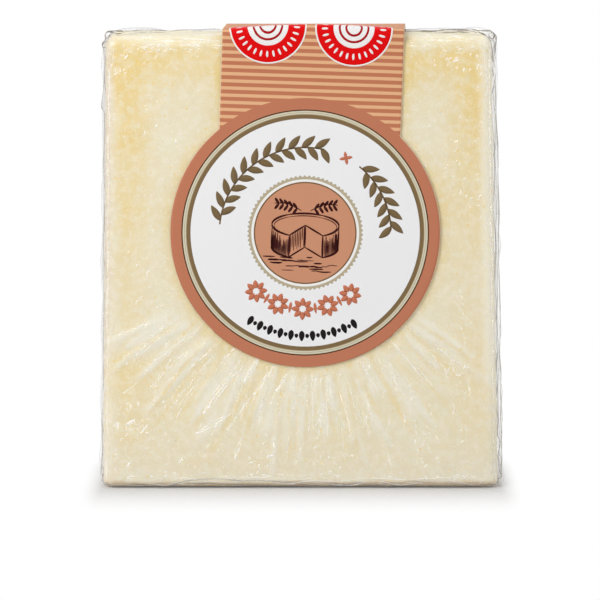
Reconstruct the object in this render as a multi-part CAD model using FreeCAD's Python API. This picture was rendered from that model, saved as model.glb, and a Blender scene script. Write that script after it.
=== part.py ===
import FreeCAD, Part
import math
import os

# Hard goat cheese, vacuum packed: an upright block in clear shrunk film, with a one-piece paper
# label that covers the front with a round panel, folds over the top edge as a broad strap and ends
# on the back in a second round panel.
#
# Frame: +Z up, the front face looks towards -Y, +X is to the right of someone who looks at the
# front. The origin is the middle of the foot, on the surface that the pack stands on.
# All sizes are in millimetres.

os.makedirs("parts", exist_ok=True)
Vector = FreeCAD.Vector

# ---- Driving dimensions: the block of cheese with its film drawn tight ----
pack_height = 118.8
pack_depth = 25.0
foot_width = 103.3
top_width = 99.6
foot_shift = -0.19            # middle of the block beside the YZ plane, at the foot
top_shift = -0.74             # the same at the top: the cut sides of the block aren't quite upright
upright_edge_radius = 3.0     # the four upright edges, seen from above
top_edge_height = 3.0         # how far below the top the rounding of the top edges starts
top_face_inset = 3.4          # how far that rounding draws in the front and the back face
top_side_inset = 3.0          # how far it draws in the two narrow sides
foot_edge_height = 1.8        # the same three at the foot, where the edges are crisper
foot_face_inset = 1.9
foot_side_inset = 2.2

# ---- Driving dimensions: loose film on the two narrow sides ----
film_standoff_left = 1.1      # how far the highest pleat stands off the tight wall
film_standoff_right = 1.75
pleat_count_left = 3
pleat_count_right = 4
pleat_width = 1.5             # half the width of a pleat where it is 1/e of its height
pinch_pitch = 19.0            # typical distance between two places where a pleat is pinched flat
slack_share = 0.3             # part of the stand-off that the whole side bulges between its edges
ear_reach = 0.35              # film ears at the four outer corners stand out by this much more
ear_length = 6.5              # how far an ear runs along the side

# ---- Driving dimensions: the paper label ----
paper_thickness = 0.25
glue_gap = 0.05               # between the paper and the film behind it
label_radius = 35.0
label_height = 67.15          # middle of the round panel above the foot
label_side_shift = 1.0        # middle of the round panel beside the YZ plane
label_lean = 1.9              # degrees, clockwise as seen from the front
strap_width = 46.9
strap_shift = 0.35            # middle of the strap beside the middle of the panel
strap_lift = 0.65             # free space between the strap and the top of the pack
strap_crown = 1.2             # how far the fold rises again in the middle of the strap
fold_radius = 1.6             # inner radius of the two folds at the top edges

# ---- Fineness of the surfaces ----
face_stations = 14            # control points along the front, and along the back
corner_stations = 4           # along each upright edge
side_stations = 20            # along each narrow side
wall_levels = 36              # control rows between the two rounded ends
end_levels = 5                # control rows within each rounded end
strap_stations = 9            # profiles across the strap from which its crowned top is lofted

# ---- Worked out from them ----
half_depth = pack_depth / 2
half_turn = math.pi
lean_slope = math.tan(math.radians(label_lean))
fold_height = pack_height + strap_lift - fold_radius       # where the strap starts to turn over
fold_depth = half_depth + glue_gap - fold_radius           # where it has turned, front and back


def strap_middle(height):
    """Where the leaning middle line of the front strap lies beside the YZ plane, at a height."""
    return label_side_shift + strap_shift + (height - label_height) * lean_slope


front_fold_middle = strap_middle(fold_height)
back_fold_middle = front_fold_middle + 2 * fold_depth * lean_slope
back_strap_middle = back_fold_middle + (fold_height - label_height) * lean_slope


def block_width(height):
    """Width of the tight block at a height: it narrows evenly from the foot to the top."""
    return foot_width + (top_width - foot_width) * height / pack_height


def block_shift(height):
    """How far the middle of the block lies beside the YZ plane at a height."""
    return foot_shift + (top_shift - foot_shift) * height / pack_height


def pleat_pinch(side, number, height):
    """From 0, pinched flat, to 1, standing: a slow and a quick wave, different for every pleat."""
    pitch = pinch_pitch * (1.0 + 0.17 * number + 0.09 * side)
    slow = math.sin(2 * half_turn * height / pitch + 2.4 * number + 0.8 * side)
    quick = math.sin(2 * half_turn * height / (0.37 * pitch) + 1.3 * number)
    return 0.62 + 0.26 * slow + 0.12 * quick


def side_relief(side, along, height):
    """How far the film stands off a narrow side, at a depth position and a height.

    side is -1 on the left and +1 on the right. The film bulges a little between the two upright
    edges, carries upright pleats of bell-shaped section on top of that, and gathers into a small
    ear at each end.
    """
    if side < 0:
        standoff, count = film_standoff_left, pleat_count_left
    else:
        standoff, count = film_standoff_right, pleat_count_right
    flat = half_depth - upright_edge_radius
    bulge = max(0.0, 1.0 - (along / half_depth) ** 4)
    relief = slack_share * bulge
    pitch = 2 * flat / count
    for number in range(count):
        wander = 0.5 * math.sin(2 * half_turn * height / (2.3 * pinch_pitch) + 1.9 * number)
        middle = -flat + (number + 0.5) * pitch + wander
        bell = math.exp(-((along - middle) / pleat_width) ** 2)
        relief += (1 - slack_share) * pleat_pinch(side, number, height) * bell
    ear_middle = 0.25 * flat * side
    across = math.exp(-((along - ear_middle) / (2 * pleat_width)) ** 2)
    ends = math.exp(-(height / ear_length) ** 2)
    ends += math.exp(-((pack_height - height) / ear_length) ** 2)
    return standoff * relief + ear_reach * across * ends


def plan_stations(width, shift):
    """Points round the rounded rectangle of one level, each with its outward normal and side.

    They run from the front left edge, along the front, and on round the right, the back and the
    left. The last value is +1 on the right, -1 on the left and 0 elsewhere.
    """
    run_x = width / 2 - upright_edge_radius
    run_y = half_depth - upright_edge_radius
    stations = []
    quarters = (
        (face_stations, (-run_x, -half_depth), (run_x, -half_depth), -90, 0),
        (side_stations, (width / 2, -run_y), (width / 2, run_y), 0, 1),
        (face_stations, (run_x, half_depth), (-run_x, half_depth), 90, 0),
        (side_stations, (-width / 2, run_y), (-width / 2, -run_y), 180, -1),
    )
    for count, start, end, degrees, side in quarters:
        angle = math.radians(degrees)
        for index in range(count):
            share = index / (count - 1)
            x = start[0] + (end[0] - start[0]) * share
            y = start[1] + (end[1] - start[1]) * share
            stations.append((x + shift, y, math.cos(angle), math.sin(angle), side))
        corner_x = end[0] - upright_edge_radius * math.cos(angle)
        corner_y = end[1] - upright_edge_radius * math.sin(angle)
        for index in range(1, corner_stations + 1):
            turn = angle + half_turn / 2 * index / (corner_stations + 1)
            x = corner_x + upright_edge_radius * math.cos(turn) + shift
            y = corner_y + upright_edge_radius * math.sin(turn)
            stations.append((x, y, math.cos(turn), math.sin(turn), 0))
    return stations


def level_list():
    """Heights of the control rows, each with how far it draws in the faces and the sides.

    Both insets are full at the very ends and fade out along a quarter of an ellipse.
    """
    foot, top, wall = [], [], []
    for index in range(end_levels):
        turn = half_turn / 2 * index / end_levels
        rise, inset = 1 - math.cos(turn), 1 - math.sin(turn)
        foot.append((foot_edge_height * rise, foot_face_inset * inset, foot_side_inset * inset))
        top.append((pack_height - top_edge_height * rise, top_face_inset * inset,
                    top_side_inset * inset))
    run = pack_height - foot_edge_height - top_edge_height
    for index in range(wall_levels):
        wall.append((foot_edge_height + run * index / (wall_levels - 1), 0.0, 0.0))
    return foot + wall + top[::-1]


def make_vacuum_pack():
    """The block in its film: one wall surface on a closed net of control points, and two flats."""
    rows = []
    for height, face_inset, side_inset in level_list():
        row = []
        for x, y, normal_x, normal_y, side in plan_stations(block_width(height), block_shift(height)):
            relief = side_relief(side, y, height) if side else 0.0
            x += normal_x * (relief - side_inset)
            y -= normal_y * face_inset
            row.append(Vector(x, y, height))
        rows.append(row)
    around = len(rows[0])
    upward = len(rows)
    net = [[rows[level][station] for level in range(upward)] for station in range(around)]
    surface = Part.BSplineSurface()
    around_knots = [float(index) for index in range(around + 1)]
    upward_knots = [float(index) for index in range(upward - 2)]
    upward_mults = [4] + [1] * (upward - 4) + [4]
    surface.buildFromPolesMultsKnots(net, [1] * (around + 1), upward_mults, around_knots,
                                     upward_knots, True, False, 3, 3)
    wall = surface.toShape()
    rims = [edge for edge in wall.Edges if edge.isClosed()]
    flats = [Part.Face(Part.Wire([rim])) for rim in rims]
    shell = Part.makeShell([wall] + flats)
    shell.sewShape()
    return outward_solid(shell)


def outward_solid(shell):
    """A solid from a closed shell, turned so that its volume counts as positive."""
    solid = Part.makeSolid(shell)
    if solid.Volume < 0:
        solid.reverse()
    return solid


def arc_edge(x, middle, radius, start_degrees):
    """Quarter circle in the plane across the pack at x, that falls from its start angle by 90."""
    points = []
    for degrees in (start_degrees, start_degrees - 45, start_degrees - 90):
        angle = math.radians(degrees)
        y = middle[0] + radius * math.cos(angle)
        z = middle[1] + radius * math.sin(angle)
        points.append(Vector(x, y, z))
    return Part.Arc(*points).toShape()


def side_line(x, start, end):
    """Straight edge in the plane across the pack at x, between two places (depth, height)."""
    return Part.makeLine(Vector(x, *start), Vector(x, *end))


def strap_profile(x, crown):
    """Closed section of the folded paper at one place across the strap, in the YZ plane.

    The paper comes up the front, turns over the top edge in an arc, runs back over the top and
    turns down the back. The crown raises the front fold, and fades out towards the back one.
    """
    low = label_height - label_radius - fold_radius
    front_fold = (-fold_depth, fold_height + crown)
    back_fold = (fold_depth, fold_height)
    inner = fold_depth + fold_radius
    outer = inner + paper_thickness
    outer_radius = fold_radius + paper_thickness
    edges = [
        side_line(x, (-outer, low), (-outer, front_fold[1])),
        arc_edge(x, front_fold, outer_radius, 180),
        side_line(x, (front_fold[0], front_fold[1] + outer_radius),
                  (back_fold[0], back_fold[1] + outer_radius)),
        arc_edge(x, back_fold, outer_radius, 90),
        side_line(x, (outer, back_fold[1]), (outer, low)),
        side_line(x, (outer, low), (inner, low)),
        side_line(x, (inner, low), (inner, back_fold[1])),
        arc_edge(x, back_fold, fold_radius, 90),
        side_line(x, (back_fold[0], back_fold[1] + fold_radius),
                  (front_fold[0], front_fold[1] + fold_radius)),
        arc_edge(x, front_fold, fold_radius, 180),
        side_line(x, (-inner, front_fold[1]), (-inner, low)),
        side_line(x, (-inner, low), (-outer, low)),
    ]
    return Part.Wire(edges)


def folded_sheet():
    """A sheet of the label's paper, wider than the label, folded over the top of the pack.

    Its section changes from profile to profile, because the crown is a half wave across the
    strap. Beside the strap the section stays the same.
    """
    half = strap_width / 2
    profiles = []
    for index in range(strap_stations):
        offset = strap_width * (index / (strap_stations - 1) - 0.5)
        crown = strap_crown * max(0.0, math.cos(half_turn * offset / strap_width))
        profiles.append(strap_profile(front_fold_middle + offset, crown))
    sheet = Part.makeLoft(profiles, True, True)
    left_end = label_side_shift - label_radius - fold_radius
    right_end = back_strap_middle + label_radius + fold_radius
    wings = []
    for start, end in ((left_end, front_fold_middle - half), (front_fold_middle + half, right_end)):
        section = Part.Face(strap_profile(start, 0.0))
        wings.append(section.extrude(Vector(end - start, 0, 0)))
    return sheet.fuse(wings)


def strap_strip(start, end, low, high, upright):
    """A prism as wide as the strap, whose middle line runs straight from start to end.

    start and end each give the place across the pack and the place along the strip. An upright
    strip runs along Z and reaches from low to high through the depth. The other kind runs along
    Y and reaches from low to high through the height.
    """
    half = strap_width / 2
    corners = [(start[0] - half, start[1]), (start[0] + half, start[1]),
               (end[0] + half, end[1]), (end[0] - half, end[1])]
    if upright:
        points = [Vector(across, low, along) for across, along in corners]
        sweep = Vector(0, high - low, 0)
    else:
        points = [Vector(across, along, low) for across, along in corners]
        sweep = Vector(0, 0, high - low)
    outline = Part.Wire([Part.makeLine(points[index - 1], points[index]) for index in range(4)])
    return Part.Face(outline).extrude(sweep)


def label_outline():
    """What the folded sheet is cut to: two round panels and the leaning strap that joins them.

    The strap leans on the front, over the top and on the back, as one straight strip of paper
    does when it is folded round the pack. Round each fold its edges stay upright.
    """
    beyond = pack_depth
    above = fold_height + beyond
    front = (-beyond, -fold_depth, strap_middle(label_height), front_fold_middle)
    back = (fold_depth, beyond, back_strap_middle, back_fold_middle)
    pieces = []
    for low, high, panel_middle, fold_middle in (front, back):
        fold = (fold_middle, fold_height)
        pieces.append(strap_strip((panel_middle, label_height), fold, low, high, True))
        pieces.append(strap_strip(fold, (fold_middle, above), low, high, True))
        start = Vector(panel_middle - strap_shift, low, label_height)
        pieces.append(Part.makeCylinder(label_radius, high - low, start, Vector(0, 1, 0)))
    over_front = (front_fold_middle, -fold_depth)
    over_back = (back_fold_middle, fold_depth)
    pieces.append(strap_strip(over_front, over_back, fold_height, above, False))
    return pieces[0].fuse(pieces[1:])


def make_label():
    """The folded sheet of paper, cut to its outline."""
    return folded_sheet().common(label_outline()).removeSplitter()


nodes = {
    "vacuum_pack": make_vacuum_pack(),
    "label": make_label(),
}

for name, shape in nodes.items():
    solid = shape.Solids[0]
    box = solid.BoundBox
    print(name, "solids", len(shape.Solids), "valid", solid.isValid(), "volume", round(solid.Volume, 1),
          "x", round(box.XMin, 2), round(box.XMax, 2), "y", round(box.YMin, 2), round(box.YMax, 2),
          "z", round(box.ZMin, 2), round(box.ZMax, 2))
    solid.exportStep("parts/" + name + ".step")
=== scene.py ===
# %% [markdown]
# # A vacuum-packed block of hard goat cheese
#
# The real object is a pale block of cheese in clear shrink film, with a paper label that is
# folded over its top edge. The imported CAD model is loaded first, as a fixed frame: everything
# below takes its place from the boxes of that frame.
#
# Shapes are worked out in millimetres as whole numpy arrays, and become metres when a mesh is
# made. +Z is up, and the front face looks towards -Y.

# %% The frame
import bmesh
import bpy
import math
import numpy as np
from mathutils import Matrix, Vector


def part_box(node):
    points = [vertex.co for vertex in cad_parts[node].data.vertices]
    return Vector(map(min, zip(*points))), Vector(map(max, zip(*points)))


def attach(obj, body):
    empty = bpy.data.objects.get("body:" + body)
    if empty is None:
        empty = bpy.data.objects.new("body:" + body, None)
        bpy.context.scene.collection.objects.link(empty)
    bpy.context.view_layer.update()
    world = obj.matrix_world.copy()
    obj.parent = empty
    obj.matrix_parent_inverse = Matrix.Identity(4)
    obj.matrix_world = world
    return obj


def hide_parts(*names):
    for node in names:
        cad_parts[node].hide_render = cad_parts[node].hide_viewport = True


MM = 0.001
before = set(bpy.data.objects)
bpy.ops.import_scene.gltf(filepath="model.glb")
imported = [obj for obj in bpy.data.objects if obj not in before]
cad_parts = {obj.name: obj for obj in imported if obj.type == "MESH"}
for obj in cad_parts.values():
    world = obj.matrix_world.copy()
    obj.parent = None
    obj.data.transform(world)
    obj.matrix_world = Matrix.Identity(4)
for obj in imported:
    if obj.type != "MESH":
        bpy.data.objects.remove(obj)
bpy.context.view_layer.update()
pack_low, pack_high = (np.array(corner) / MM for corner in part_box("vacuum_pack"))
label_low, label_high = (np.array(corner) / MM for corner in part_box("label"))
print("pack from", pack_low.round(2), "to", pack_high.round(2))
print("label from", label_low.round(2), "to", label_high.round(2))

# %% [markdown]
# ## The sizes of the pack
#
# The pack has to lie exactly where its solid lies, so the height and the depth are read from
# the frame. The other sizes are the ones that the solid was made from: how wide the block is at
# its foot and its top, how round its edges are, and how far the loose film stands off the two
# narrow sides.

# %% Sizes of the pack, in millimetres
pack_height = pack_high[2]
half_depth = pack_high[1]
foot_width, top_width = 103.3, 99.6
foot_shift, top_shift = -0.19, -0.74
upright_edge_radius = 3.0
top_edge_height, top_face_inset, top_side_inset = 3.0, 3.4, 3.0
foot_edge_height, foot_face_inset, foot_side_inset = 1.8, 1.9, 2.2
standoff = {-1: 1.1, 1: 1.75}
pleat_count = {-1: 3, 1: 4}
pinch_pitch = 19.0
flat_depth = half_depth - upright_edge_radius


def block_width(height):
    """Width of the tight block: it narrows evenly from the foot to the top."""
    return foot_width + (top_width - foot_width) * height / pack_height


def block_shift(height):
    """How far the middle of the block lies beside the YZ plane: it drifts evenly as well."""
    return foot_shift + (top_shift - foot_shift) * height / pack_height


print("pack is", round(pack_height, 1), "mm high and", round(2 * half_depth, 1), "mm deep")

# %% [markdown]
# ## Turning arrays into a mesh
#
# A grid of points becomes a mesh through one list of corner numbers for each face. Values that
# a material needs at each point, such as how yellow the cheese is, are stored as attributes of
# the mesh, so that a pattern keeps to its surface.

# %% Mesh helpers
def make_piece(name, points, faces, material, stands_for=(), values=None):
    """A smooth piece on the body "root" from points in millimetres and lists of corners."""
    mesh = bpy.data.meshes.new(name)
    mesh.from_pydata((np.asarray(points) * MM).tolist(), [], faces)
    for key, data in (values or {}).items():
        data = np.asarray(data, dtype=np.float32)
        kind = "FLOAT_VECTOR" if data.ndim == 2 else "FLOAT"
        layer = mesh.attributes.new(key, kind, "POINT")
        layer.data.foreach_set("vector" if data.ndim == 2 else "value", data.ravel())
    merge_doubles(mesh)
    mesh.shade_smooth()
    mesh.materials.append(material)
    piece = bpy.data.objects.new(name, mesh)
    bpy.context.scene.collection.objects.link(piece)
    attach(piece, "root")
    if stands_for:
        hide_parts(*stands_for)
    triangles = sum(len(face.vertices) - 2 for face in mesh.polygons)
    print(name, len(mesh.vertices), "points", triangles, "triangles")
    return piece


def merge_doubles(mesh, distance=0.002 * MM):
    """Points that share a place become one, which closes seams and poles."""
    work = bmesh.new()
    work.from_mesh(mesh)
    bmesh.ops.remove_doubles(work, verts=work.verts, dist=distance)
    bmesh.ops.dissolve_degenerate(work, edges=work.edges, dist=distance)
    work.to_mesh(mesh)
    work.free()


def unit(vectors, smallest=1e-9):
    """Vectors brought to length 1: each one divided by its length."""
    return vectors / np.maximum(np.linalg.norm(vectors, axis=-1, keepdims=True), smallest)


def left_of(run):
    """Unit vectors (-z, x) that point to the left of the running directions (x, z) of a line."""
    run = unit(run)
    return np.stack([-run[..., 1], run[..., 0]], axis=-1)


def grid_faces(rows, columns, closed=False):
    """Corner numbers of the quads of a grid, row by row. A closed grid joins its two sides."""
    row = np.arange(rows - 1)[:, None] * columns
    column = np.arange(columns if closed else columns - 1)[None, :]
    beside = (column + 1) % columns
    corners = (row + column, row + beside, row + beside + columns, row + column + columns)
    return np.stack([corner.ravel() for corner in np.broadcast_arrays(*corners)], axis=1)


# %% [markdown]
# ## The form that the cheese and the film share
#
# The block is a rounded rectangle seen from above, whose walls turn over into the top and the
# foot in a quarter of an ellipse. One grid covers it all: columns run once round the block, and
# rows run from the middle of the foot, up the walls, to the middle of the top. Every point is a
# place on an inner core plus a radius along its normal, so both pieces use this one function
# with a radius of their own.

# %% Columns and rows of the block
end_shrink = 0.94
steepest = 0.995


def block_columns(front, corner, side, back):
    """Place on the core, from -1 to 1 each way, and angle of the normal, once round the block.

    They start at the left end of the front and run along the front, the right, the back and the
    left. Between two flat stretches the core stays in its corner while the normal turns by a
    quarter of a circle.
    """
    across, depth, angle = [], [], []
    runs = ((front, (-1, -1), (1, -1), -90), (side, (1, -1), (1, 1), 0),
            (back, (1, 1), (-1, 1), 90), (side, (-1, 1), (-1, -1), 180))
    for count, start, end, degrees in runs:
        share = np.linspace(0, 1, count)
        turn = np.linspace(0, 90, corner + 2)[1:-1]
        across += [start[0] + (end[0] - start[0]) * share, np.full(corner, end[0])]
        depth += [start[1] + (end[1] - start[1]) * share, np.full(corner, end[1])]
        angle += [np.full(count, degrees), degrees + turn]
    return np.concatenate(across), np.concatenate(depth), np.radians(np.concatenate(angle))


def block_rows(foot_rings, bend_rows, wall_rows, top_rings):
    """Height, tilt of the normal and share of the flat end, for every row from foot to top.

    The tilt is -90 degrees under the foot, 0 on the walls and 90 on the top. The share goes
    from 1 at the last ring of an end to 0 at its rim.
    """
    bend = np.linspace(0, 90, bend_rows + 1)[:-1]
    foot_share = np.linspace(1, 0, foot_rings + 1)[:-1]
    top_share = np.linspace(0, 1, top_rings + 1)[1:]
    rise = 1 - np.cos(np.radians(bend))
    wall = np.linspace(foot_edge_height, pack_height - top_edge_height, wall_rows)
    height = [np.zeros(foot_rings), foot_edge_height * rise, wall,
              pack_height - top_edge_height * rise[::-1], np.full(top_rings, pack_height)]
    tilt = [np.full(foot_rings, -90), bend - 90, np.zeros(wall_rows), 90 - bend[::-1],
            np.full(top_rings, 90)]
    share = [foot_share, np.zeros(bend_rows + wall_rows + bend_rows), top_share]
    return np.concatenate(height), np.radians(np.concatenate(tilt)), np.concatenate(share)


def block_surface(columns, rows, inset=0.0):
    """Points and normals of the block's surface, drawn in by an inset, as (rows, columns, 3).

    Place = core + (radius - inset) * normal, where the two ends draw the faces in by the
    ellipse's share, and on the flat ends everything shrinks towards the middle line by up to
    end_shrink.
    """
    across, depth, angle = columns
    height, tilt, share = (values[:, None] for values in rows)
    drawn = 1 - np.cos(tilt)
    side_inset = np.where(tilt < 0, foot_side_inset, top_side_inset) * drawn
    face_inset = np.where(tilt < 0, foot_face_inset, top_face_inset) * drawn
    normal_x = np.cos(angle) * np.cos(tilt)
    normal_y = np.sin(angle) * np.cos(tilt)
    normal_z = np.sin(tilt) + 0 * angle
    half_width = block_width(height) / 2 - upright_edge_radius
    radius = upright_edge_radius - inset
    x = across * half_width + np.cos(angle) * (radius - side_inset)
    y = depth * flat_depth + np.sin(angle) * (radius - face_inset)
    shrink = end_shrink * share
    x = x * (1 - shrink * half_depth / half_width) + block_shift(height)
    y = y * (1 - shrink)
    z = height - inset * np.sin(tilt) + 0 * angle
    points = np.stack([x, y, z], axis=-1)
    normals = np.stack([normal_x, normal_y, normal_z], axis=-1)
    return points, normals


def front_surface(x, z):
    """Depth of the block's front at a place, with its rounded upright and end edges.

    Beyond the flat part an edge follows a quarter ellipse, so what is left of its reach is the
    square root of one minus the square of how far along the edge the place is. The very end,
    where that becomes too steep, is left out.
    """
    aside = np.abs(x - block_shift(z)) - (block_width(z) / 2 - upright_edge_radius)
    aside = np.clip(aside / upright_edge_radius, 0, steepest)
    low = np.clip(1 - z / foot_edge_height, 0, 1)
    high = np.clip(1 - (pack_height - z) / top_edge_height, 0, 1)
    inset = foot_face_inset * (1 - np.sqrt(1 - low ** 2))
    inset = inset + top_face_inset * (1 - np.sqrt(1 - high ** 2))
    flat_share = (1 - aside ** 2) * (1 - low ** 2) * (1 - high ** 2)
    return -(flat_depth + (upright_edge_radius - inset) * np.sqrt(1 - aside ** 2)), flat_share


def block_faces(rows, columns):
    """The grid's quads, closed round the block, and one face that closes each flat end."""
    faces = grid_faces(rows, columns, closed=True).tolist()
    faces.append(list(range(columns - 1, -1, -1)))
    faces.append(list(range((rows - 1) * columns, rows * columns)))
    return faces


# %% [markdown]
# ## Reliefs: noise and folds
#
# Shrink film creases where it can't follow the block, and it presses the same creases into the
# soft surface of the cheese. Two kinds of relief are enough for that. A soft noise gives dents
# and crumples. A list of folds gives the long creases: each one is a bell-shaped ridge along a
# slightly bent line.

# %% Noise and folds
lattice_size = 89
lattice_start = (0.37, 0.21)


def soft_noise(across, up, pitch, seed):
    """Random heights from -1 to 1 on a square lattice, joined by smooth steps in between.

    Between two lattice points a share t of the way counts as t * t * (3 - 2 * t).
    """
    size = lattice_size
    lattice = np.random.default_rng(seed).uniform(-1, 1, (size, size))
    u = across / pitch + lattice_start[0] * size
    v = up / pitch + lattice_start[1] * size
    column, row = np.floor(u).astype(int), np.floor(v).astype(int)
    u, v = u - column, v - row
    u, v = u * u * (3 - 2 * u), v * v * (3 - 2 * v)
    left, right = column % size, (column + 1) % size
    low, high = row % size, (row + 1) % size
    below = lattice[low, left] * (1 - u) + lattice[low, right] * u
    above = lattice[high, left] * (1 - u) + lattice[high, right] * u
    return below * (1 - v) + above * v


def layered_noise(across, up, layers):
    """Sum of soft noises. A layer is (height, squeeze across, squeeze up, offset, pitch, seed)."""
    return sum(height * soft_noise(across * squeeze_x + offset, up * squeeze_z, pitch, seed)
               for height, squeeze_x, squeeze_z, offset, pitch, seed in layers)


def fold_relief(across, up, folds):
    """Height of the highest fold at each place.

    A fold is (start across, start up, heading in degrees, length, half width, height, bend).
    Its section is a bell, its height fades at both ends, and its line leaves the straight by
    the bend at its far end, growing with the square of the distance.
    """
    relief = np.zeros(np.broadcast(across, up).shape)
    for start_x, start_z, heading, length, half_width, height, bend in folds:
        turn = math.radians(heading)
        run_x, run_z = across - start_x, up - start_z
        along = (run_x * math.cos(turn) + run_z * math.sin(turn)) / length
        aside = run_z * math.cos(turn) - run_x * math.sin(turn) - bend * along ** 2
        fade = np.clip(1 - (2 * along - 1) ** 4, 0, 1)
        relief = np.maximum(relief, height * fade * np.exp(-(aside / half_width) ** 2))
    return relief


def smooth_step(value, low, high):
    """From 0 below the low limit to 1 above the high one, with a soft start and end."""
    share = np.clip((value - low) / (high - low), 0, 1)
    return share * share * (3 - 2 * share)


# %% [markdown]
# ## Where the label lies
#
# The label is one strip of paper, folded over the top: a round panel on the front, a strap over
# the top, and a second round panel on the back. A place on the flat label is (across, along),
# measured from the middle of the front panel. `wrap` bends the flat label round the pack, so
# both the paper and all that is printed on it can be drawn flat.

# %% Sizes of the label, and the fold that wraps it
paper_thickness = 0.25
glue_gap = 0.05
panel_radius = 35.0
panel_height = 67.15
panel_shift = 1.0
label_lean = math.radians(1.9)
strap_width = 46.9
strap_shift = 0.35
strap_lift = 0.65
strap_crown = 1.2
fold_radius = 1.6
fold_height = pack_height + strap_lift - fold_radius
fold_depth = half_depth + glue_gap - fold_radius
fold_run = (fold_radius + paper_thickness / 2) * math.pi / 2
panel_to_fold = fold_height - panel_height
panel_to_panel = (2 * (panel_to_fold + fold_run + fold_depth)) / math.cos(label_lean)


def wrap(across, along, out):
    """Place in space of a point of the flat label, that far out from the paper's inner face.

    The strip leans, so its length runs partly across the pack. The rest of its length goes up
    the front, a quarter circle round the front fold, over the top, a quarter circle round the
    back fold, and down the back. The middle of the front fold is crowned.
    """
    x = panel_shift + across * math.cos(label_lean) + along * math.sin(label_lean)
    run = along * math.cos(label_lean) - across * math.sin(label_lean)
    beside = np.clip((across - strap_shift) / strap_width, -0.5, 0.5)
    crown = strap_crown * np.cos(math.pi * beside)
    up_end = panel_to_fold + crown
    over_start = up_end + fold_run
    over_end = panel_to_fold + fold_run + 2 * fold_depth
    down_start = over_end + fold_run
    over = np.clip((run - over_start) / (over_end - over_start), 0, 1)
    turn = (np.clip((run - up_end) / fold_run, 0, 1) + np.clip((run - over_end) / fold_run, 0, 1))
    turn = turn * math.pi / 2
    reach = fold_radius + out
    y = fold_depth * (2 * over - 1) - reach * np.cos(turn)
    z = fold_height + crown * (1 - over) + reach * np.sin(turn)
    z = z - np.clip(up_end - run, 0, None) - np.clip(run - down_start, 0, None)
    return np.stack(np.broadcast_arrays(x, y, z), axis=-1)


def outside_label(x, z, back=False):
    """Distance in millimetres from the label's outline on the front or back, 0 under it."""
    middle_x = panel_shift
    if back:
        middle_x += panel_to_panel * math.sin(label_lean)
    up = z - panel_height
    lean = -label_lean if back else label_lean
    across = (x - middle_x) * math.cos(lean) - up * math.sin(lean)
    along = up * math.cos(lean) + (x - middle_x) * math.sin(lean)
    disc = np.hypot(across, along) - panel_radius
    strap = np.abs(across - strap_shift) - strap_width / 2
    strap = np.where(along > 0, strap, panel_radius)
    return np.clip(np.minimum(disc, strap), 0, None)


print("label is", round(panel_to_panel + 2 * panel_radius, 1), "mm long when it is laid flat")

# %% [markdown]
# ## The creases in the film
#
# The film shrank round the stiff label, so long soft creases fan out from the lower half of the
# round panel. Elsewhere there are only short ones. The lists are drawn from seeded random numbers
# inside named ranges. The cheese carries the same creases, because the film presses them into
# it, so both pieces use one function for this relief.

# %% The soft creases of the front and of the back
angle_stray = (-2.5, 2.5)
heading_stray = (-6, 6)
rim_gap = (-1.0, 7.0)
fan_bend = (-1.5, 1.5)
short_bend = (-0.8, 0.8)
label_fade = 1.5
slow_wave = 0.1
dent_noise = (
    # height, squeeze across, squeeze up, offset, pitch, seed
    (0.05, 1, 1, 0, 3.1, 41),
    (0.03, 1, 1, 7, 1.4, 42),
    (slow_wave, 1, 1, 0, 17.0, 43),
)


def below_panel(middle_x, angle, gap):
    """Place outside a round panel's rim by that gap, at an angle from straight down."""
    reach = panel_radius + gap
    turn = math.radians(angle)
    return middle_x + reach * math.sin(turn), panel_height - reach * math.cos(turn)


def fan_of_folds(seed, count, middle_x, degrees, length, half_width, height):
    """Folds that leave the lower rim of a round panel, spread between two angles."""
    random = np.random.default_rng(seed)
    folds = []
    angles = np.linspace(*degrees, count) + random.uniform(*angle_stray, count)
    for angle in angles:
        heading = angle - 90 + random.uniform(*heading_stray)
        start = below_panel(middle_x, angle, random.uniform(*rim_gap))
        folds.append((*start, heading, *(random.uniform(*limits) for limits in
                                         (length, half_width, height, fan_bend))))
    return folds


def scattered_folds(seed, count, across, up, heading, length, half_width, height):
    """Folds that start anywhere in a rectangle, with headings and sizes between two limits."""
    random = np.random.default_rng(seed)
    limits = (across, up, heading, length, half_width, height, short_bend)
    columns = [random.uniform(*limit, count) for limit in limits]
    return list(zip(*columns))


back_middle = panel_shift + panel_to_panel * math.sin(label_lean)
front_folds = fan_of_folds(seed=5, count=58, middle_x=panel_shift, degrees=(-62, 55),
                           length=(9, 28), half_width=(0.6, 1.5), height=(0.14, 0.32))
front_dimples = scattered_folds(seed=12, count=90, across=(-47, 46), up=(6, 112),
                                heading=(20, 100), length=(1.5, 6), half_width=(0.4, 0.9),
                                height=(0.04, 0.12))
back_folds = fan_of_folds(seed=21, count=48, middle_x=back_middle, degrees=(-60, 60),
                          length=(12, 30), half_width=(0.8, 1.7), height=(0.15, 0.3))
back_dimples = scattered_folds(seed=23, count=70, across=(-47, 46), up=(6, 112),
                               heading=(60, 120), length=(3, 12), half_width=(0.6, 1.1),
                               height=(0.05, 0.14))
print(len(front_folds) + len(front_dimples), "folds in front,",
      len(back_folds) + len(back_dimples), "at the back")


def front_relief(x, z):
    """Height of the soft creases, dents and slow waves of the front, in millimetres."""
    free = smooth_step(outside_label(x, z), 0.0, label_fade)
    folds = fold_relief(x, z, front_folds) + fold_relief(x, z, front_dimples)
    return free * folds + dent_relief(x, z)


def back_relief(x, z):
    """The same for the back, round its own panel."""
    free = smooth_step(outside_label(x, z, back=True), 0.0, label_fade)
    folds = fold_relief(x, z, back_folds) + fold_relief(x, z, back_dimples)
    return free * folds + dent_relief(x, z)


def dent_relief(x, z):
    """Small dents in the cheese and the slow unevenness of a face that was cut by wire."""
    return layered_noise(x, z, dent_noise) - slow_wave


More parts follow.
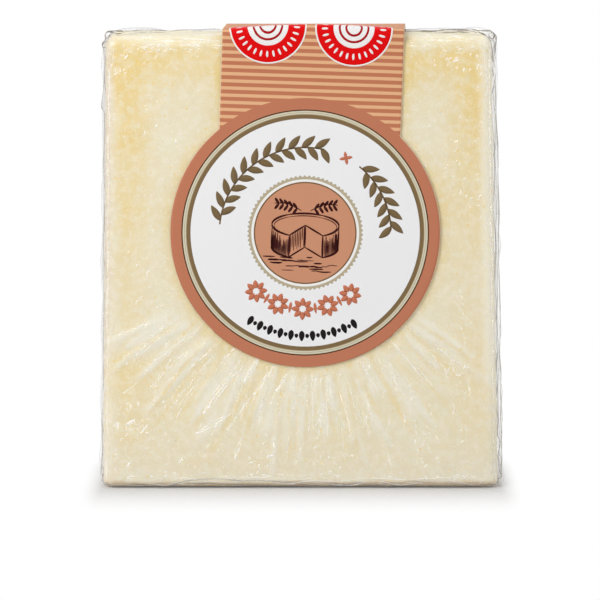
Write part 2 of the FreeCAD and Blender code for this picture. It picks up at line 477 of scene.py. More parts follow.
def face_relief(points, normals):
    """The relief of both faces at the points of a block surface, fading round its edges."""
    x, y, z = points[..., 0], points[..., 1], points[..., 2]
    facing = np.clip(-normals[..., 1], 0, 1) ** 2
    behind = np.clip(normals[..., 1], 0, 1) ** 2
    return facing * front_relief(x, z) + behind * back_relief(x, z)


# %% [markdown]
# ## The clear film
#
# The film is one closed skin. On the two faces it lies on the cheese. On the narrow sides it
# stands off in upright pleats that are pinched flat here and there. Over the top it lies low at
# the front and rises in shallow loops along the back edge, and round the foot it is crinkled.

# %% Shape of the film
bulge_share, pleat_share = 0.30, 0.70
pleat_half_width = 1.1
pleat_wander = 0.5
pinch_mean, pinch_slow, pinch_quick = 0.62, 0.26, 0.12
pinch_step, side_step = 0.17, 0.09
quick_pitch, wander_pitch = 0.37, 2.3
slow_phase, side_phase, quick_phase, wander_phase = 2.4, 0.8, 1.3, 1.9
top_sink, loop_lift = -1.15, 1.2
loops_from = -2.0
top_loops = (
    # share of the lift, middle across, half width, power of the distance
    (1.0, -42, 7, 4),
    (0.8, -24, 6, 2),
    (0.75, 33, 8, 4),
    (1.0, 46, 5, 2),
)
# noise layers: height, squeeze across, squeeze up, offset, pitch, seed
long_fold_noise = ((0.22, 1 / 11, 1, 3, 1.6, 53), (0.16, 1 / 5, 1, 0, 0.9, 54))
crumple_noise = ((0.05, 2.2, 1, 0, 4.5, 51), (0.10, 1.5, 1, 0, 11.0, 52))
crinkle_noise = ((0.30, 1 / 6, 2.5, 0, 1.3, 55), (0.18, 1 / 2, 2, 0, 1.1, 56))


def side_pleats(side, depth, height):
    """How far the film stands off a narrow side, from 0 to about 1 of its stand-off.

    A low bulge carries upright pleats, sharper than those of the solid. A slow and a quick wave
    along each pleat pinch it, and its line wanders a little. Each pleat starts its waves at
    another place, so no two are alike.
    """
    count = pleat_count[side]
    pitch = 2 * flat_depth / count
    relief = bulge_share * (1 - (depth / half_depth) ** 4)
    rise = 2 * math.pi * height
    for number in range(count):
        wave = pinch_pitch * (1 + pinch_step * number + side_step * side)
        slow = np.sin(rise / wave + slow_phase * number + side_phase * side)
        quick = np.sin(rise / (quick_pitch * wave) + quick_phase * number)
        wander = np.sin(rise / (wander_pitch * pinch_pitch) + wander_phase * number)
        middle = -flat_depth + (number + 0.5) * pitch + pleat_wander * wander
        pinch = pinch_mean + pinch_slow * slow + pinch_quick * quick
        relief = relief + pleat_share * pinch * np.exp(-((depth - middle) / pleat_half_width) ** 2)
    return relief


def top_lift(x, y):
    """How far the film lies above or below the solid's flat top, in millimetres.

    It is tight along the front. Along the back edge it lifts in loops, one at each side of the
    strap and one at each corner, and it carries long low folds that run across the pack.
    """
    loops = sum(share * np.exp(-((x - middle) / half) ** power)
                for share, middle, half, power in top_loops)
    behind = smooth_step(y, loops_from, half_depth - top_face_inset)
    lift = loop_lift * np.clip(loops, 0, 1) * behind
    return top_sink + lift + layered_noise(x, y, long_fold_noise)


def film_relief(points, normals):
    """How far the film's sides, top and foot edge stand off the tight block, in millimetres."""
    x, y, z = points[..., 0], points[..., 1], points[..., 2]
    relief = np.zeros(x.shape)
    for side in (-1, 1):
        flank = np.clip(side * normals[..., 0], 0, 1) ** 2
        crumple = layered_noise(y, z, crumple_noise)
        relief += flank * (standoff[side] * side_pleats(side, y, z) + crumple)
    relief += np.clip(normals[..., 2], 0, 1) * top_lift(x, y)
    down = np.clip(-normals[..., 2], 0, 1)
    foot_edge = 4 * down * (1 - down)
    return relief + foot_edge * layered_noise(x, z, crinkle_noise)


film_columns = block_columns(front=230, corner=7, side=38, back=76)
film_rows = block_rows(foot_rings=3, bend_rows=9, wall_rows=190, top_rings=14)
film_points, film_normals = block_surface(film_columns, film_rows)
film_off = face_relief(film_points, film_normals) + film_relief(film_points, film_normals)
film_shape = film_points + film_normals * film_off[..., None]
film_shape[..., 2] = np.maximum(film_shape[..., 2], 0.0)
print("film relief from", film_off.min().round(2), "to", film_off.max().round(2), "mm")

# %% [markdown]
# ## Paints
#
# Colours are written as the swatch that they should show, from 0 to 255, and turned into the
# linear values that Blender works with. The node helpers keep the materials short: each one adds
# a node and links what it is given.

# %% Colour and node helpers
def paint(red, green, blue):
    """A linear colour from a swatch in 0 to 255, by the standard screen curve.

    A level up to 0.04045 is divided by 12.92. Above that it is ((level + 0.055) / 1.055) ^ 2.4.
    """
    levels = np.array([red, green, blue]) / 255
    linear = np.where(levels <= 0.04045, levels / 12.92, ((levels + 0.055) / 1.055) ** 2.4)
    return (*linear.tolist(), 1.0)


class Nodes:
    """The node tree of a material or a world, with one short call for each kind of node."""

    def __init__(self, owner, output="ShaderNodeOutputMaterial"):
        """Empties the tree of a new material or world, and adds its output."""
        owner.use_nodes = True
        self.owner = owner
        self.tree = owner.node_tree
        self.tree.nodes.clear()
        self.output = self.add(output)

    def add(self, kind, inputs=None, **settings):
        """A node with its settings, and its inputs linked or set."""
        node = self.tree.nodes.new(kind)
        for key, value in settings.items():
            setattr(node, key, value)
        for key, value in (inputs or {}).items():
            if isinstance(value, bpy.types.NodeSocket):
                self.tree.links.new(value, node.inputs[key])
            else:
                node.inputs[key].default_value = value
        return node

    def value(self, name):
        """The mesh attribute of that name, as a number."""
        return self.add("ShaderNodeAttribute", attribute_name=name).outputs["Fac"]

    def vector(self, name):
        """The mesh attribute of that name, as a vector."""
        return self.add("ShaderNodeAttribute", attribute_name=name).outputs["Vector"]

    def place(self):
        """The place on the object, in metres."""
        return self.add("ShaderNodeTexCoord").outputs["Object"]

    def math(self, operation, first, second=0.0, clamp=False):
        """One sum, product, comparison or function of one or two numbers."""
        node = self.add("ShaderNodeMath", {0: first, 1: second}, operation=operation)
        node.use_clamp = clamp
        return node.outputs[0]

    def distance(self, first, second):
        """The square root of the sum of the squares of two numbers."""
        squares = [self.math("MULTIPLY", value, value) for value in (first, second)]
        return self.math("SQRT", self.math("ADD", *squares))

    def ramp(self, value, low, high):
        """From 0 below the low limit to 1 above the high one, with a soft start and end."""
        node = self.add("ShaderNodeMapRange", {0: value, 1: low, 2: high})
        node.interpolation_type = "SMOOTHSTEP"
        return node.outputs[0]

    def mix(self, share, first, second):
        """Two colours mixed by a share. The node's sockets 6 and 7 are its two colours."""
        inputs = {0: share, 6: first, 7: second}
        return self.add("ShaderNodeMix", inputs, data_type="RGBA").outputs[2]

    def noise(self, per_mm, detail):
        """Fractal noise from 0 to 1, with that many blotches to a millimetre."""
        inputs = {"Vector": self.place(), "Scale": per_mm / MM, "Detail": detail}
        return self.add("ShaderNodeTexNoise", inputs).outputs["Fac"]

    def seen_by_eye(self):
        """1 for rays from the camera, from a reflection or through clear film, else 0."""
        path = self.add("ShaderNodeLightPath").outputs
        mirrored = self.math("MAXIMUM", path["Is Glossy Ray"], path["Is Transmission Ray"])
        return self.math("MAXIMUM", path["Is Camera Ray"], mirrored)

    def bump(self, height, distance_mm):
        """A bent normal from a height between 0 and 1."""
        inputs = {"Height": height, "Distance": distance_mm * MM, "Strength": 1.0}
        return self.add("ShaderNodeBump", inputs).outputs["Normal"]

    def finish(self, shader):
        """Sends the shader to the surface and returns the material or the world."""
        self.tree.links.new(shader, self.output.inputs["Surface"])
        return self.owner


def new_material(name):
    """The nodes of a new material with that name."""
    return Nodes(bpy.data.materials.new(name))


# %% [markdown]
# ## Clear film as a material
#
# Thin film doesn't bend light in a way that shows, so it is a mix of nothing at all and gloss:
# the flatter the view, the more it mirrors. Where it stands edge-on it looks grey, because light
# goes through a longer stretch of it. A fold scatters light, so the creases are the same film
# with some white in it; that milky white also paints in the film's glints, as painted
# highlights. Film this thin throws no shadow, so shadow rays pass it unchanged.

# %% Film material
wrinkles_per_mm, wrinkle_height = 0.9, 0.08
film_roughness = 0.12
mirror_power, mirror_most = 5.0, 0.8
milk_and_glint_white = (254, 253, 249)


def film_material(name, milk_and_glint_share=0.0, grey_from=0.9, grey=(200, 195, 188), gloss_share=0.04,
                  face_on=(255, 255, 255)):
    """Transparent and glossy by the angle of view, grey edge-on, partly milky: crease white and
    painted glints.
    """
    nodes = new_material(name)
    wrinkle = nodes.bump(nodes.noise(wrinkles_per_mm, 3.0), wrinkle_height)
    edge_on = nodes.add("ShaderNodeLayerWeight", {"Blend": 0.5}).outputs["Facing"]
    wrinkled = nodes.add("ShaderNodeLayerWeight", {"Blend": 0.5, "Normal": wrinkle})
    shadow = nodes.add("ShaderNodeLightPath").outputs["Is Shadow Ray"]
    seen = nodes.math("SUBTRACT", 1.0, shadow)
    depth = nodes.ramp(edge_on, grey_from, 1.0)
    tint = nodes.mix(depth, paint(*face_on), paint(*grey))
    tint = nodes.mix(shadow, tint, (1, 1, 1, 1))
    clear = nodes.add("ShaderNodeBsdfTransparent", {"Color": tint}).outputs[0]
    gloss = nodes.add("ShaderNodeBsdfGlossy", {"Roughness": film_roughness, "Normal": wrinkle})
    steep = nodes.math("POWER", wrinkled.outputs["Facing"], mirror_power)
    mirror = nodes.math("ADD", nodes.math("MULTIPLY", steep, mirror_most), gloss_share)
    mirror = nodes.math("MULTIPLY", mirror, seen)
    skin = nodes.add("ShaderNodeMixShader", {0: mirror, 1: clear, 2: gloss.outputs[0]}).outputs[0]
    # milky white: crease whitening, and painted highlights where it stands in for glints
    if milk_and_glint_share:
        milk_and_glint = nodes.add("ShaderNodeBsdfDiffuse", {"Color": paint(*milk_and_glint_white)}).outputs[0]
        share = nodes.math("MULTIPLY", nodes.value("milk_and_glint"), milk_and_glint_share, clamp=True)
        share = nodes.math("MULTIPLY", share, seen)
        skin = nodes.add("ShaderNodeMixShader", {0: share, 1: skin, 2: milk_and_glint}).outputs[0]
    return nodes.finish(skin)


make_piece("shrink_film", film_shape.reshape(-1, 3), block_faces(*film_shape.shape[:2]),
           film_material("clear_shrink_film"), ["vacuum_pack"])

# %% [markdown]
# ## Sharp creases, air pockets and specks
#
# The finest marks of the film are narrower than the squares of its grid: hard crease lines,
# narrow pockets of air with two bright walls, and specks where a tiny bubble is caught. The
# white of the walls, the knots and the specks is painted highlight: it stands in for glints.
# Each is a small lens that follows a line on the front, so it has its own fine mesh. All of
# them lie on the film as one piece.

# %% Lenses along lines on the front
lens_slope = 0.3
lens_sink = 0.01
thinnest = 0.02
wall_widths = {-1: 0.11, 1: 0.17}
knot_length, knot_half_width = 1.1, 0.26


def lens_piece(name, lines, milk_and_glint, material, columns=5):
    """Thin closed lenses on the front face, as one piece.

    lines is a list of (points on the front (n, 2), half widths (n,), heights (n,)). Across each
    line the height is one minus the square of the distance, so a section looks like a lens.
    """
    steps = np.linspace(-1, 1, columns)
    sizes = [len(half) for _, half, _ in lines]
    middle, half, height = (np.concatenate(part) for part in zip(*lines))
    aside = left_of(np.concatenate([np.gradient(line[0], axis=0) for line in lines]))
    flat = middle[:, None, :] + aside[:, None, :] * (half[:, None] * steps)[..., None]
    x, z = flat[..., 0], flat[..., 1]
    depth, flat_share = front_surface(x, z)
    base = depth - flat_share * front_relief(x, z)
    outer = np.stack([x, base - lens_sink - height[:, None] * (1 - steps ** 2), z], axis=-1)
    inner = np.stack([x, base + lens_sink, z], axis=-1)
    starts = np.concatenate([[0], np.cumsum(sizes)[:-1]]) * columns
    faces = [np.array(closed_sheet_faces(size, columns, under=x.size)) + start
             for size, start in zip(sizes, starts)]
    white = np.repeat(np.repeat(milk_and_glint, sizes), columns)
    points = np.concatenate([outer.reshape(-1, 3), inner.reshape(-1, 3)])
    piece = make_piece(name, points, np.concatenate(faces).tolist(), material,
                       values={"milk_and_glint": np.concatenate([white, white])})
    outward(piece.data)
    return piece


def closed_sheet_faces(rows, columns, under=None):
    """Faces of a thin sheet: the outer layer, the inner one turned over, and the rim.

    The inner layer's points come right after the outer ones, or from the number under on.
    """
    under = rows * columns if under is None else under
    front = grid_faces(rows, columns)
    back = front[:, ::-1] + under
    rim = np.concatenate([np.arange(columns), np.arange(2, rows + 1) * columns - 1,
                          (rows - 1) * columns + np.arange(columns - 2, -1, -1),
                          np.arange(rows - 2, 0, -1) * columns])
    beyond = np.roll(rim, -1)
    wall = np.stack([rim + under, beyond + under, beyond, rim], axis=1)
    return np.concatenate([front, back, wall]).tolist()


def outward(mesh):
    """Turns every closed part of a mesh so that its faces point outwards."""
    work = bmesh.new()
    work.from_mesh(mesh)
    bmesh.ops.recalc_face_normals(work, faces=work.faces)
    work.to_mesh(mesh)
    work.free()


def taper(count, margin, power):
    """Share of the full width along a line: sin(pi t) ^ power, from margin to 1 - margin."""
    return np.sin(math.pi * np.linspace(margin, 1 - margin, count)) ** power


def uneven(random, share, depth, waves):
    """Width that comes and goes along a line: 1 - depth + depth * sin(waves t + phase)."""
    return 1 - depth + depth * np.sin(share * waves + random.uniform(0, 6))


def headed(start, heading, along, aside=0.0):
    """Places (across, up) that lie along and aside of a heading in degrees, from a start."""
    turn = math.radians(heading)
    x = start[0] + along * math.cos(turn) - aside * math.sin(turn)
    z = start[1] + along * math.sin(turn) + aside * math.cos(turn)
    return np.stack([x, z], axis=-1)


def tremble(random, count, height, step):
    """A line that strays more and more: the height times the sum of random steps."""
    return height * np.cumsum(random.normal(0, step, count))


def crease(random, start, heading, length, half_width, bend, count=22):
    """A slightly bent line whose width comes and goes along it, thinned out at both ends."""
    share = np.linspace(0, 1, count)
    stray = tremble(random, count, height=0.12, step=0.35) * share
    line = headed(start, heading, length * share, bend * share ** 2 + stray)
    swelling = uneven(random, share, depth=0.45, waves=random.uniform(6, 22))
    half = half_width * taper(count, margin=0.02, power=0.5) * swelling + thinnest
    return line, half, lens_slope * half


def air_pocket(random, start, heading, length, gap, bend, count=26):
    """Painted highlights: the two bright walls of a narrow pocket and the knot at its lower end."""
    share = np.linspace(0, 1, count)
    lines = []
    for side, wall_width in wall_widths.items():
        aside = side * gap * np.sin(math.pi * share) ** 0.6 * (0.6 + 0.4 * share)
        stray = tremble(random, count, height=0.05, step=0.3)
        line = headed(start, heading, length * share, aside + bend * share ** 2 + stray)
        swelling = uneven(random, share, depth=0.4, waves=random.uniform(8, 16))
        half = wall_width * swelling * taper(count, margin=0.03, power=0.4)
        lines.append((line, half + thinnest, lens_slope * half))
    end = headed(start, heading, length, bend)
    lines.append(speck(end, heading, knot_length, knot_half_width))
    return lines


def speck(place, heading, length, half_width, count=7):
    """A short drop-shaped lens."""
    line = headed(place, heading, length * (np.linspace(0, 1, count) - 0.5))
    half = half_width * taper(count, margin=0.04, power=0.6)
    return line, half, lens_slope * half


# %% [markdown]
# The long crease lines fan out under the label like the soft folds. The pockets of air are
# listed one by one, because the eye goes to them.

# %% Air pockets and long creases
pocket_list = (
    # start across, start up, heading, length, half gap, bend
    (-16.5, 31.0, -133, 12.0, 0.45, 0.9),
    (-18.0, 20.0, -152, 10.5, 0.50, 0.5),
    (-10.5, 35.5, -118, 8.0, 0.40, -0.4),
    (-7.0, 32.5, -128, 9.0, 0.45, 0.5),
    (-21.0, 27.5, -122, 8.5, 0.30, 0.3),
    (-15.2, 14.0, -112, 6.0, 0.35, 0.3),
    (-4.0, 30.0, -118, 4.5, 0.30, -0.2),
)
pocket_milk_and_glint = (0.75, 0.6, 1.0)   # of the left wall, the right wall and the knot
crease_fan = (-60, 52, 60)       # first angle, last angle and number of the long creases
foot_margin = 3.0


def front_marks(seed):
    """Pockets of air and long creases of the front, with how milky each one is."""
    random = np.random.default_rng(seed)
    lines, milk_and_glint = [], []
    for start_x, start_z, heading, length, gap, bend in pocket_list:
        lines += air_pocket(random, (start_x, start_z), heading, length, gap, bend)
        milk_and_glint += pocket_milk_and_glint
    for angle in np.linspace(*crease_fan):
        way = angle + random.uniform(-4, 4)
        start = below_panel(panel_shift, way, random.uniform(0.5, 14))
        length = random.uniform(3, 13)
        if start[1] - length < foot_margin:
            continue
        heading = way - 90 + random.uniform(-6, 6)
        half_width, bend = random.uniform(0.05, 0.14), random.uniform(-0.8, 0.8)
        lines.append(crease(random, start, heading, length, half_width, bend))
        milk_and_glint.append(random.uniform(0.1, 0.6))
    return lines, milk_and_glint


marks, milk_and_glint = front_marks(seed=33)
print(len(marks), "pocket walls, knots and long creases")

# %% [markdown]
# Specks gather in loose clusters, most of them along the border of the face, where the film
# leaves the flat. Others follow one another in a row, where a crease catches the light only in
# places. Their white is painted highlight.

# %% Specks and broken streaks
face_left, face_right = -47, 46
face_low, face_high = 5, 113
side_margin, top_margin = 2.6, 3.2
speck_margin, streak_margin, streak_end = 0.4, 2.0, 2.5
speck_length, speck_half_width = 2.8, 0.45
ray_share, shared_heading = 0.6, 60
clusters = (
    # middle across, middle up, spread, number of specks
    (-45, 114.2, 1.2, 16), (-38, 115.0, 1.6, 22), (-28, 115.0, 1.8, 18), (-47, 109, 0.9, 12),
    (40, 114.6, 2.4, 26), (46, 110, 1.2, 18), (34, 114.0, 2.0, 14), (-39, 101, 2.2, 14),
    (-36, 92, 3.0, 12), (-44, 33, 1.6, 16), (-36, 24, 3.2, 24), (-46, 21, 1.2, 10),
    (-42, 12, 3.0, 18), (-47, 8, 1.2, 16), (-30, 6, 3.0, 14), (8, 9, 2.4, 16), (12, 7, 1.6, 14),
    (24, 8, 2.0, 8), (34, 6, 3.5, 16), (-10, 8, 2.5, 14), (44, 95, 2.5, 12), (41, 86, 2.8, 12),
    (45, 75, 2.0, 10), (42, 30, 2.5, 10), (30, 84, 2.0, 6), (-44, 60, 2.5, 10),
    (-48.0, 16.7, 0.6, 10), (-44, 16, 1.0, 14), (-41, 16, 1.2, 14), (-38.3, 26.5, 0.8, 10),
    (-47.8, 4.6, 0.7, 8), (-35, 3.9, 1.2, 12), (-13, 5.8, 1.2, 14), (-8.5, 12.4, 1.0, 12),
    (38, 92, 3.5, 20), (43, 80, 2.5, 16),
)


def speck_clusters(seed, clusters, loose):
    """Specks round cluster points (across, up, spread, count), and loose ones over the face."""
    random = np.random.default_rng(seed)
    places = [random.normal((cx, cz), spread, (count, 2)) for cx, cz, spread, count in clusters]
    low, high = (face_left, face_low), (face_right, face_high)
    places.append(random.uniform(low, high, (loose, 2)))
    places = np.concatenate(places)
    x, z = places.T
    inside = np.abs(x - block_shift(z)) < block_width(z) / 2 - side_margin
    inside &= (z > foot_margin) & (z < pack_height - top_margin)
    inside &= outside_label(x, z) > speck_margin
    lines, milk_and_glint = [], []
    for place in places[inside]:
        size = random.gamma(1.5, 0.08) + 0.08
        heading = random.uniform(20, 85)
        lines.append(speck(place, heading, speck_length * size, speck_half_width * size))
        milk_and_glint.append(random.uniform(0.3, 1.0))
    return lines, milk_and_glint


def broken_streaks(seed, count):
    """Rows of small specks along the fan's rays, as where a crease catches the light in places.
    Their white is painted highlight.

    A row heads for the middle of the round panel, turned in part towards one shared heading.
    """
    random = np.random.default_rng(seed)
    lines, milk_and_glint = [], []
    for _ in range(count):
        x, z = random.uniform(face_left, face_right), random.triangular(4, 12, 80)
        if outside_label(x, z) < streak_margin:
            continue
        ray = math.degrees(math.atan2(panel_height - z, panel_shift - x))
        heading = ray_share * ray + (1 - ray_share) * shared_heading + random.uniform(-16, 16)
        for _ in range(random.integers(3, 9)):
            size = random.uniform(0.08, 0.3)
            place = (x + random.normal(0, 0.12), z + random.normal(0, 0.12))
            if outside_label(*place) > 0.5:
                turn = heading + random.uniform(-12, 12)
                length = random.uniform(2.5, 5.5) * size
                lines.append(speck(place, turn, length, 0.5 * size, 5))
                milk_and_glint.append(random.uniform(0.3, 0.9))
            x, z = headed((x, z), heading, random.uniform(0.5, 1.4))
            if abs(x - block_shift(z)) > block_width(z) / 2 - streak_end:
                break
    return lines, milk_and_glint


specks = [speck_clusters(seed=34, clusters=clusters, loose=170),
          broken_streaks(seed=36, count=120)]
print([len(lines) for lines, _ in specks], "specks")

# %% [markdown]
# A thin pale line follows both upright borders, broken here and there: a painted highlight along
# the rounded edge. Short level flecks lie along the top and the foot, partly creases and partly
# painted highlights. Then everything becomes one piece.

# %% Marks along the border, and all marks together
border_inside, border_turn, border_reach = 1.0, 1.5, 6.5
top_border, top_end = 4.5, 6.0
fleck_margin = 1.5
top_flecks = 46
fleck_rows = (
    # level, spread, count
    (pack_height - 3.9, 0.7, 60),
    (3.2, 0.5, 46),
)


def border_inset(z):
    """How far the pale border line lies inside the block's outline: further in near the top."""
    below_top = pack_height - top_edge_height - z
    return border_inside + border_turn * np.exp(-below_top / border_reach)


def border_lines(random):
    """A thin broken pale line along both upright borders: a painted highlight."""
    lines, milk_and_glint = [], []
    for side in (-1, 1):
        z = foot_margin
        while z < pack_height - top_end:
            length = random.uniform(2.0, 11.0)
            levels = z + np.linspace(0, min(length, pack_height - top_border - z), 22)
            sway = 0.16 * np.sin(levels / 3.1 + side) + 0.1 * np.sin(levels / 1.3)
            reach = block_width(levels) / 2 - border_inset(levels) + sway
            x = block_shift(levels) + side * reach
            half = 0.03 + 0.09 * np.abs(np.sin(levels * random.uniform(0.7, 1.6)))
            lines.append((np.stack([x, levels], axis=-1), half, lens_slope * half))
            milk_and_glint.append(random.uniform(0.25, 0.7))
            z += length + random.uniform(0.1, 1.6)
    return lines, milk_and_glint


def fleck(random, x, z, tilt, length, half_width, bend, count):
    """A short level crease with every measure drawn from its range."""
    heading = random.uniform(-tilt, tilt)
    measures = [random.uniform(*limits) for limits in (length, half_width)]
    bend = random.uniform(-bend, bend) if bend else 0.0
    return crease(random, (x, z), heading, *measures, bend, count)


def border_marks(seed):
    """Lines along both upright borders, flecks along top and foot: painted highlights and creases.
    """
    random = np.random.default_rng(seed)
    lines, milk_and_glint = border_lines(random)
    for _ in range(top_flecks):
        x, z = random.uniform(-46, 40), pack_height - random.uniform(0.5, 3.2)
        if outside_label(x, z) > fleck_margin:
            lines.append(fleck(random, x, z, tilt=6, length=(2.5, 11),
                               half_width=(0.06, 0.16), bend=0.5, count=22))
            milk_and_glint.append(random.uniform(0.2, 0.7))
    for level, spread, count in fleck_rows:
        for x in random.uniform(-46, 45, count):
            z = level + random.normal(0, spread)
            if outside_label(x, z) > fleck_margin:
                lines.append(fleck(random, x, z, tilt=20, length=(0.4, 2.6),
                                   half_width=(0.06, 0.2), bend=0.0, count=12))
                milk_and_glint.append(random.uniform(0.25, 0.9))
    return lines, milk_and_glint


for more_lines, more_milk_and_glint in (*specks, border_marks(seed=35)):
    marks += more_lines
    milk_and_glint += more_milk_and_glint
lens_piece("film_creases_and_glints", marks, milk_and_glint, film_material("creased_film_and_glints", 0.9, gloss_share=0.1))
print(len(marks), "creases, pockets and specks")

# %% [markdown]
# ## Folded edges of the film
#
# Where the film is folded or gathered it shows as a thin grey line with a white glint: along the
# narrow sides, over the top, along the foot and in small loops at the corners. The glints and
# the broad milky folds are painted highlights, made as milky white tubes. Each fold is a thin
# tube along a smooth curve through a few points. Their depth puts some of them in front of
# the cheese and some behind it.

# %% Tubes along curves in space
def smooth_curve(points, count):
    """A curve through points (n, 3): Catmull-Rom pieces, each worked out for all its places.

    With four neighbours a, b, c, d and a share t from b to c it is half of
    2b + (c - a) t + (2a - 5b + 4c - d) t^2 + (3b - a - 3c + d) t^3.
    """
    points = np.concatenate([points[:1], points, points[-1:]])
    place = np.linspace(0, len(points) - 3 - 1e-6, count)
    number = place.astype(int)
    t = (place - number)[:, None]
    a, b, c, d = (points[number + step] for step in range(4))
    return 0.5 * (2 * b + (c - a) * t + (2 * a - 5 * b + 4 * c - d) * t ** 2
                  + (3 * b - a - 3 * c + d) * t ** 3)


def tube_piece(name, curves, material, around=7):
    """Thin closed tubes. curves is a list of (points (n, 3), radii (n,), milk)."""
    angle = np.arange(around) * 2 * math.pi / around
    all_points, all_faces, all_milk, used = [], [], [], 0
    for middle, radius, white in curves:
        run = unit(np.gradient(middle, axis=0))
        first = unit(np.cross(run, (0.0, 1.0, 0.0)))
        second = np.cross(run, first)
        ring = (np.cos(angle)[None, :, None] * first[:, None, :]
                + np.sin(angle)[None, :, None] * second[:, None, :])
        points = middle[:, None, :] + radius[:, None, None] * ring
        count = len(middle)
        all_faces += (grid_faces(count, around, closed=True) + used).tolist()
        all_faces.append([used + number for number in range(around)])
        all_faces.append([used + (count - 1) * around + number for number in range(around)])
        all_points.append(points.reshape(-1, 3))
        all_milk.append(np.full(count * around, white))
        used += count * around
    piece = make_piece(name, np.concatenate(all_points), all_faces, material,
                       values={"milk_and_glint": np.concatenate(all_milk)})
    outward(piece.data)
    return piece


# %% [markdown]
# Each entry below is one fold: its depth, how thick it is, how milky it is, and the points it
# runs through, as (across, up) in millimetres.

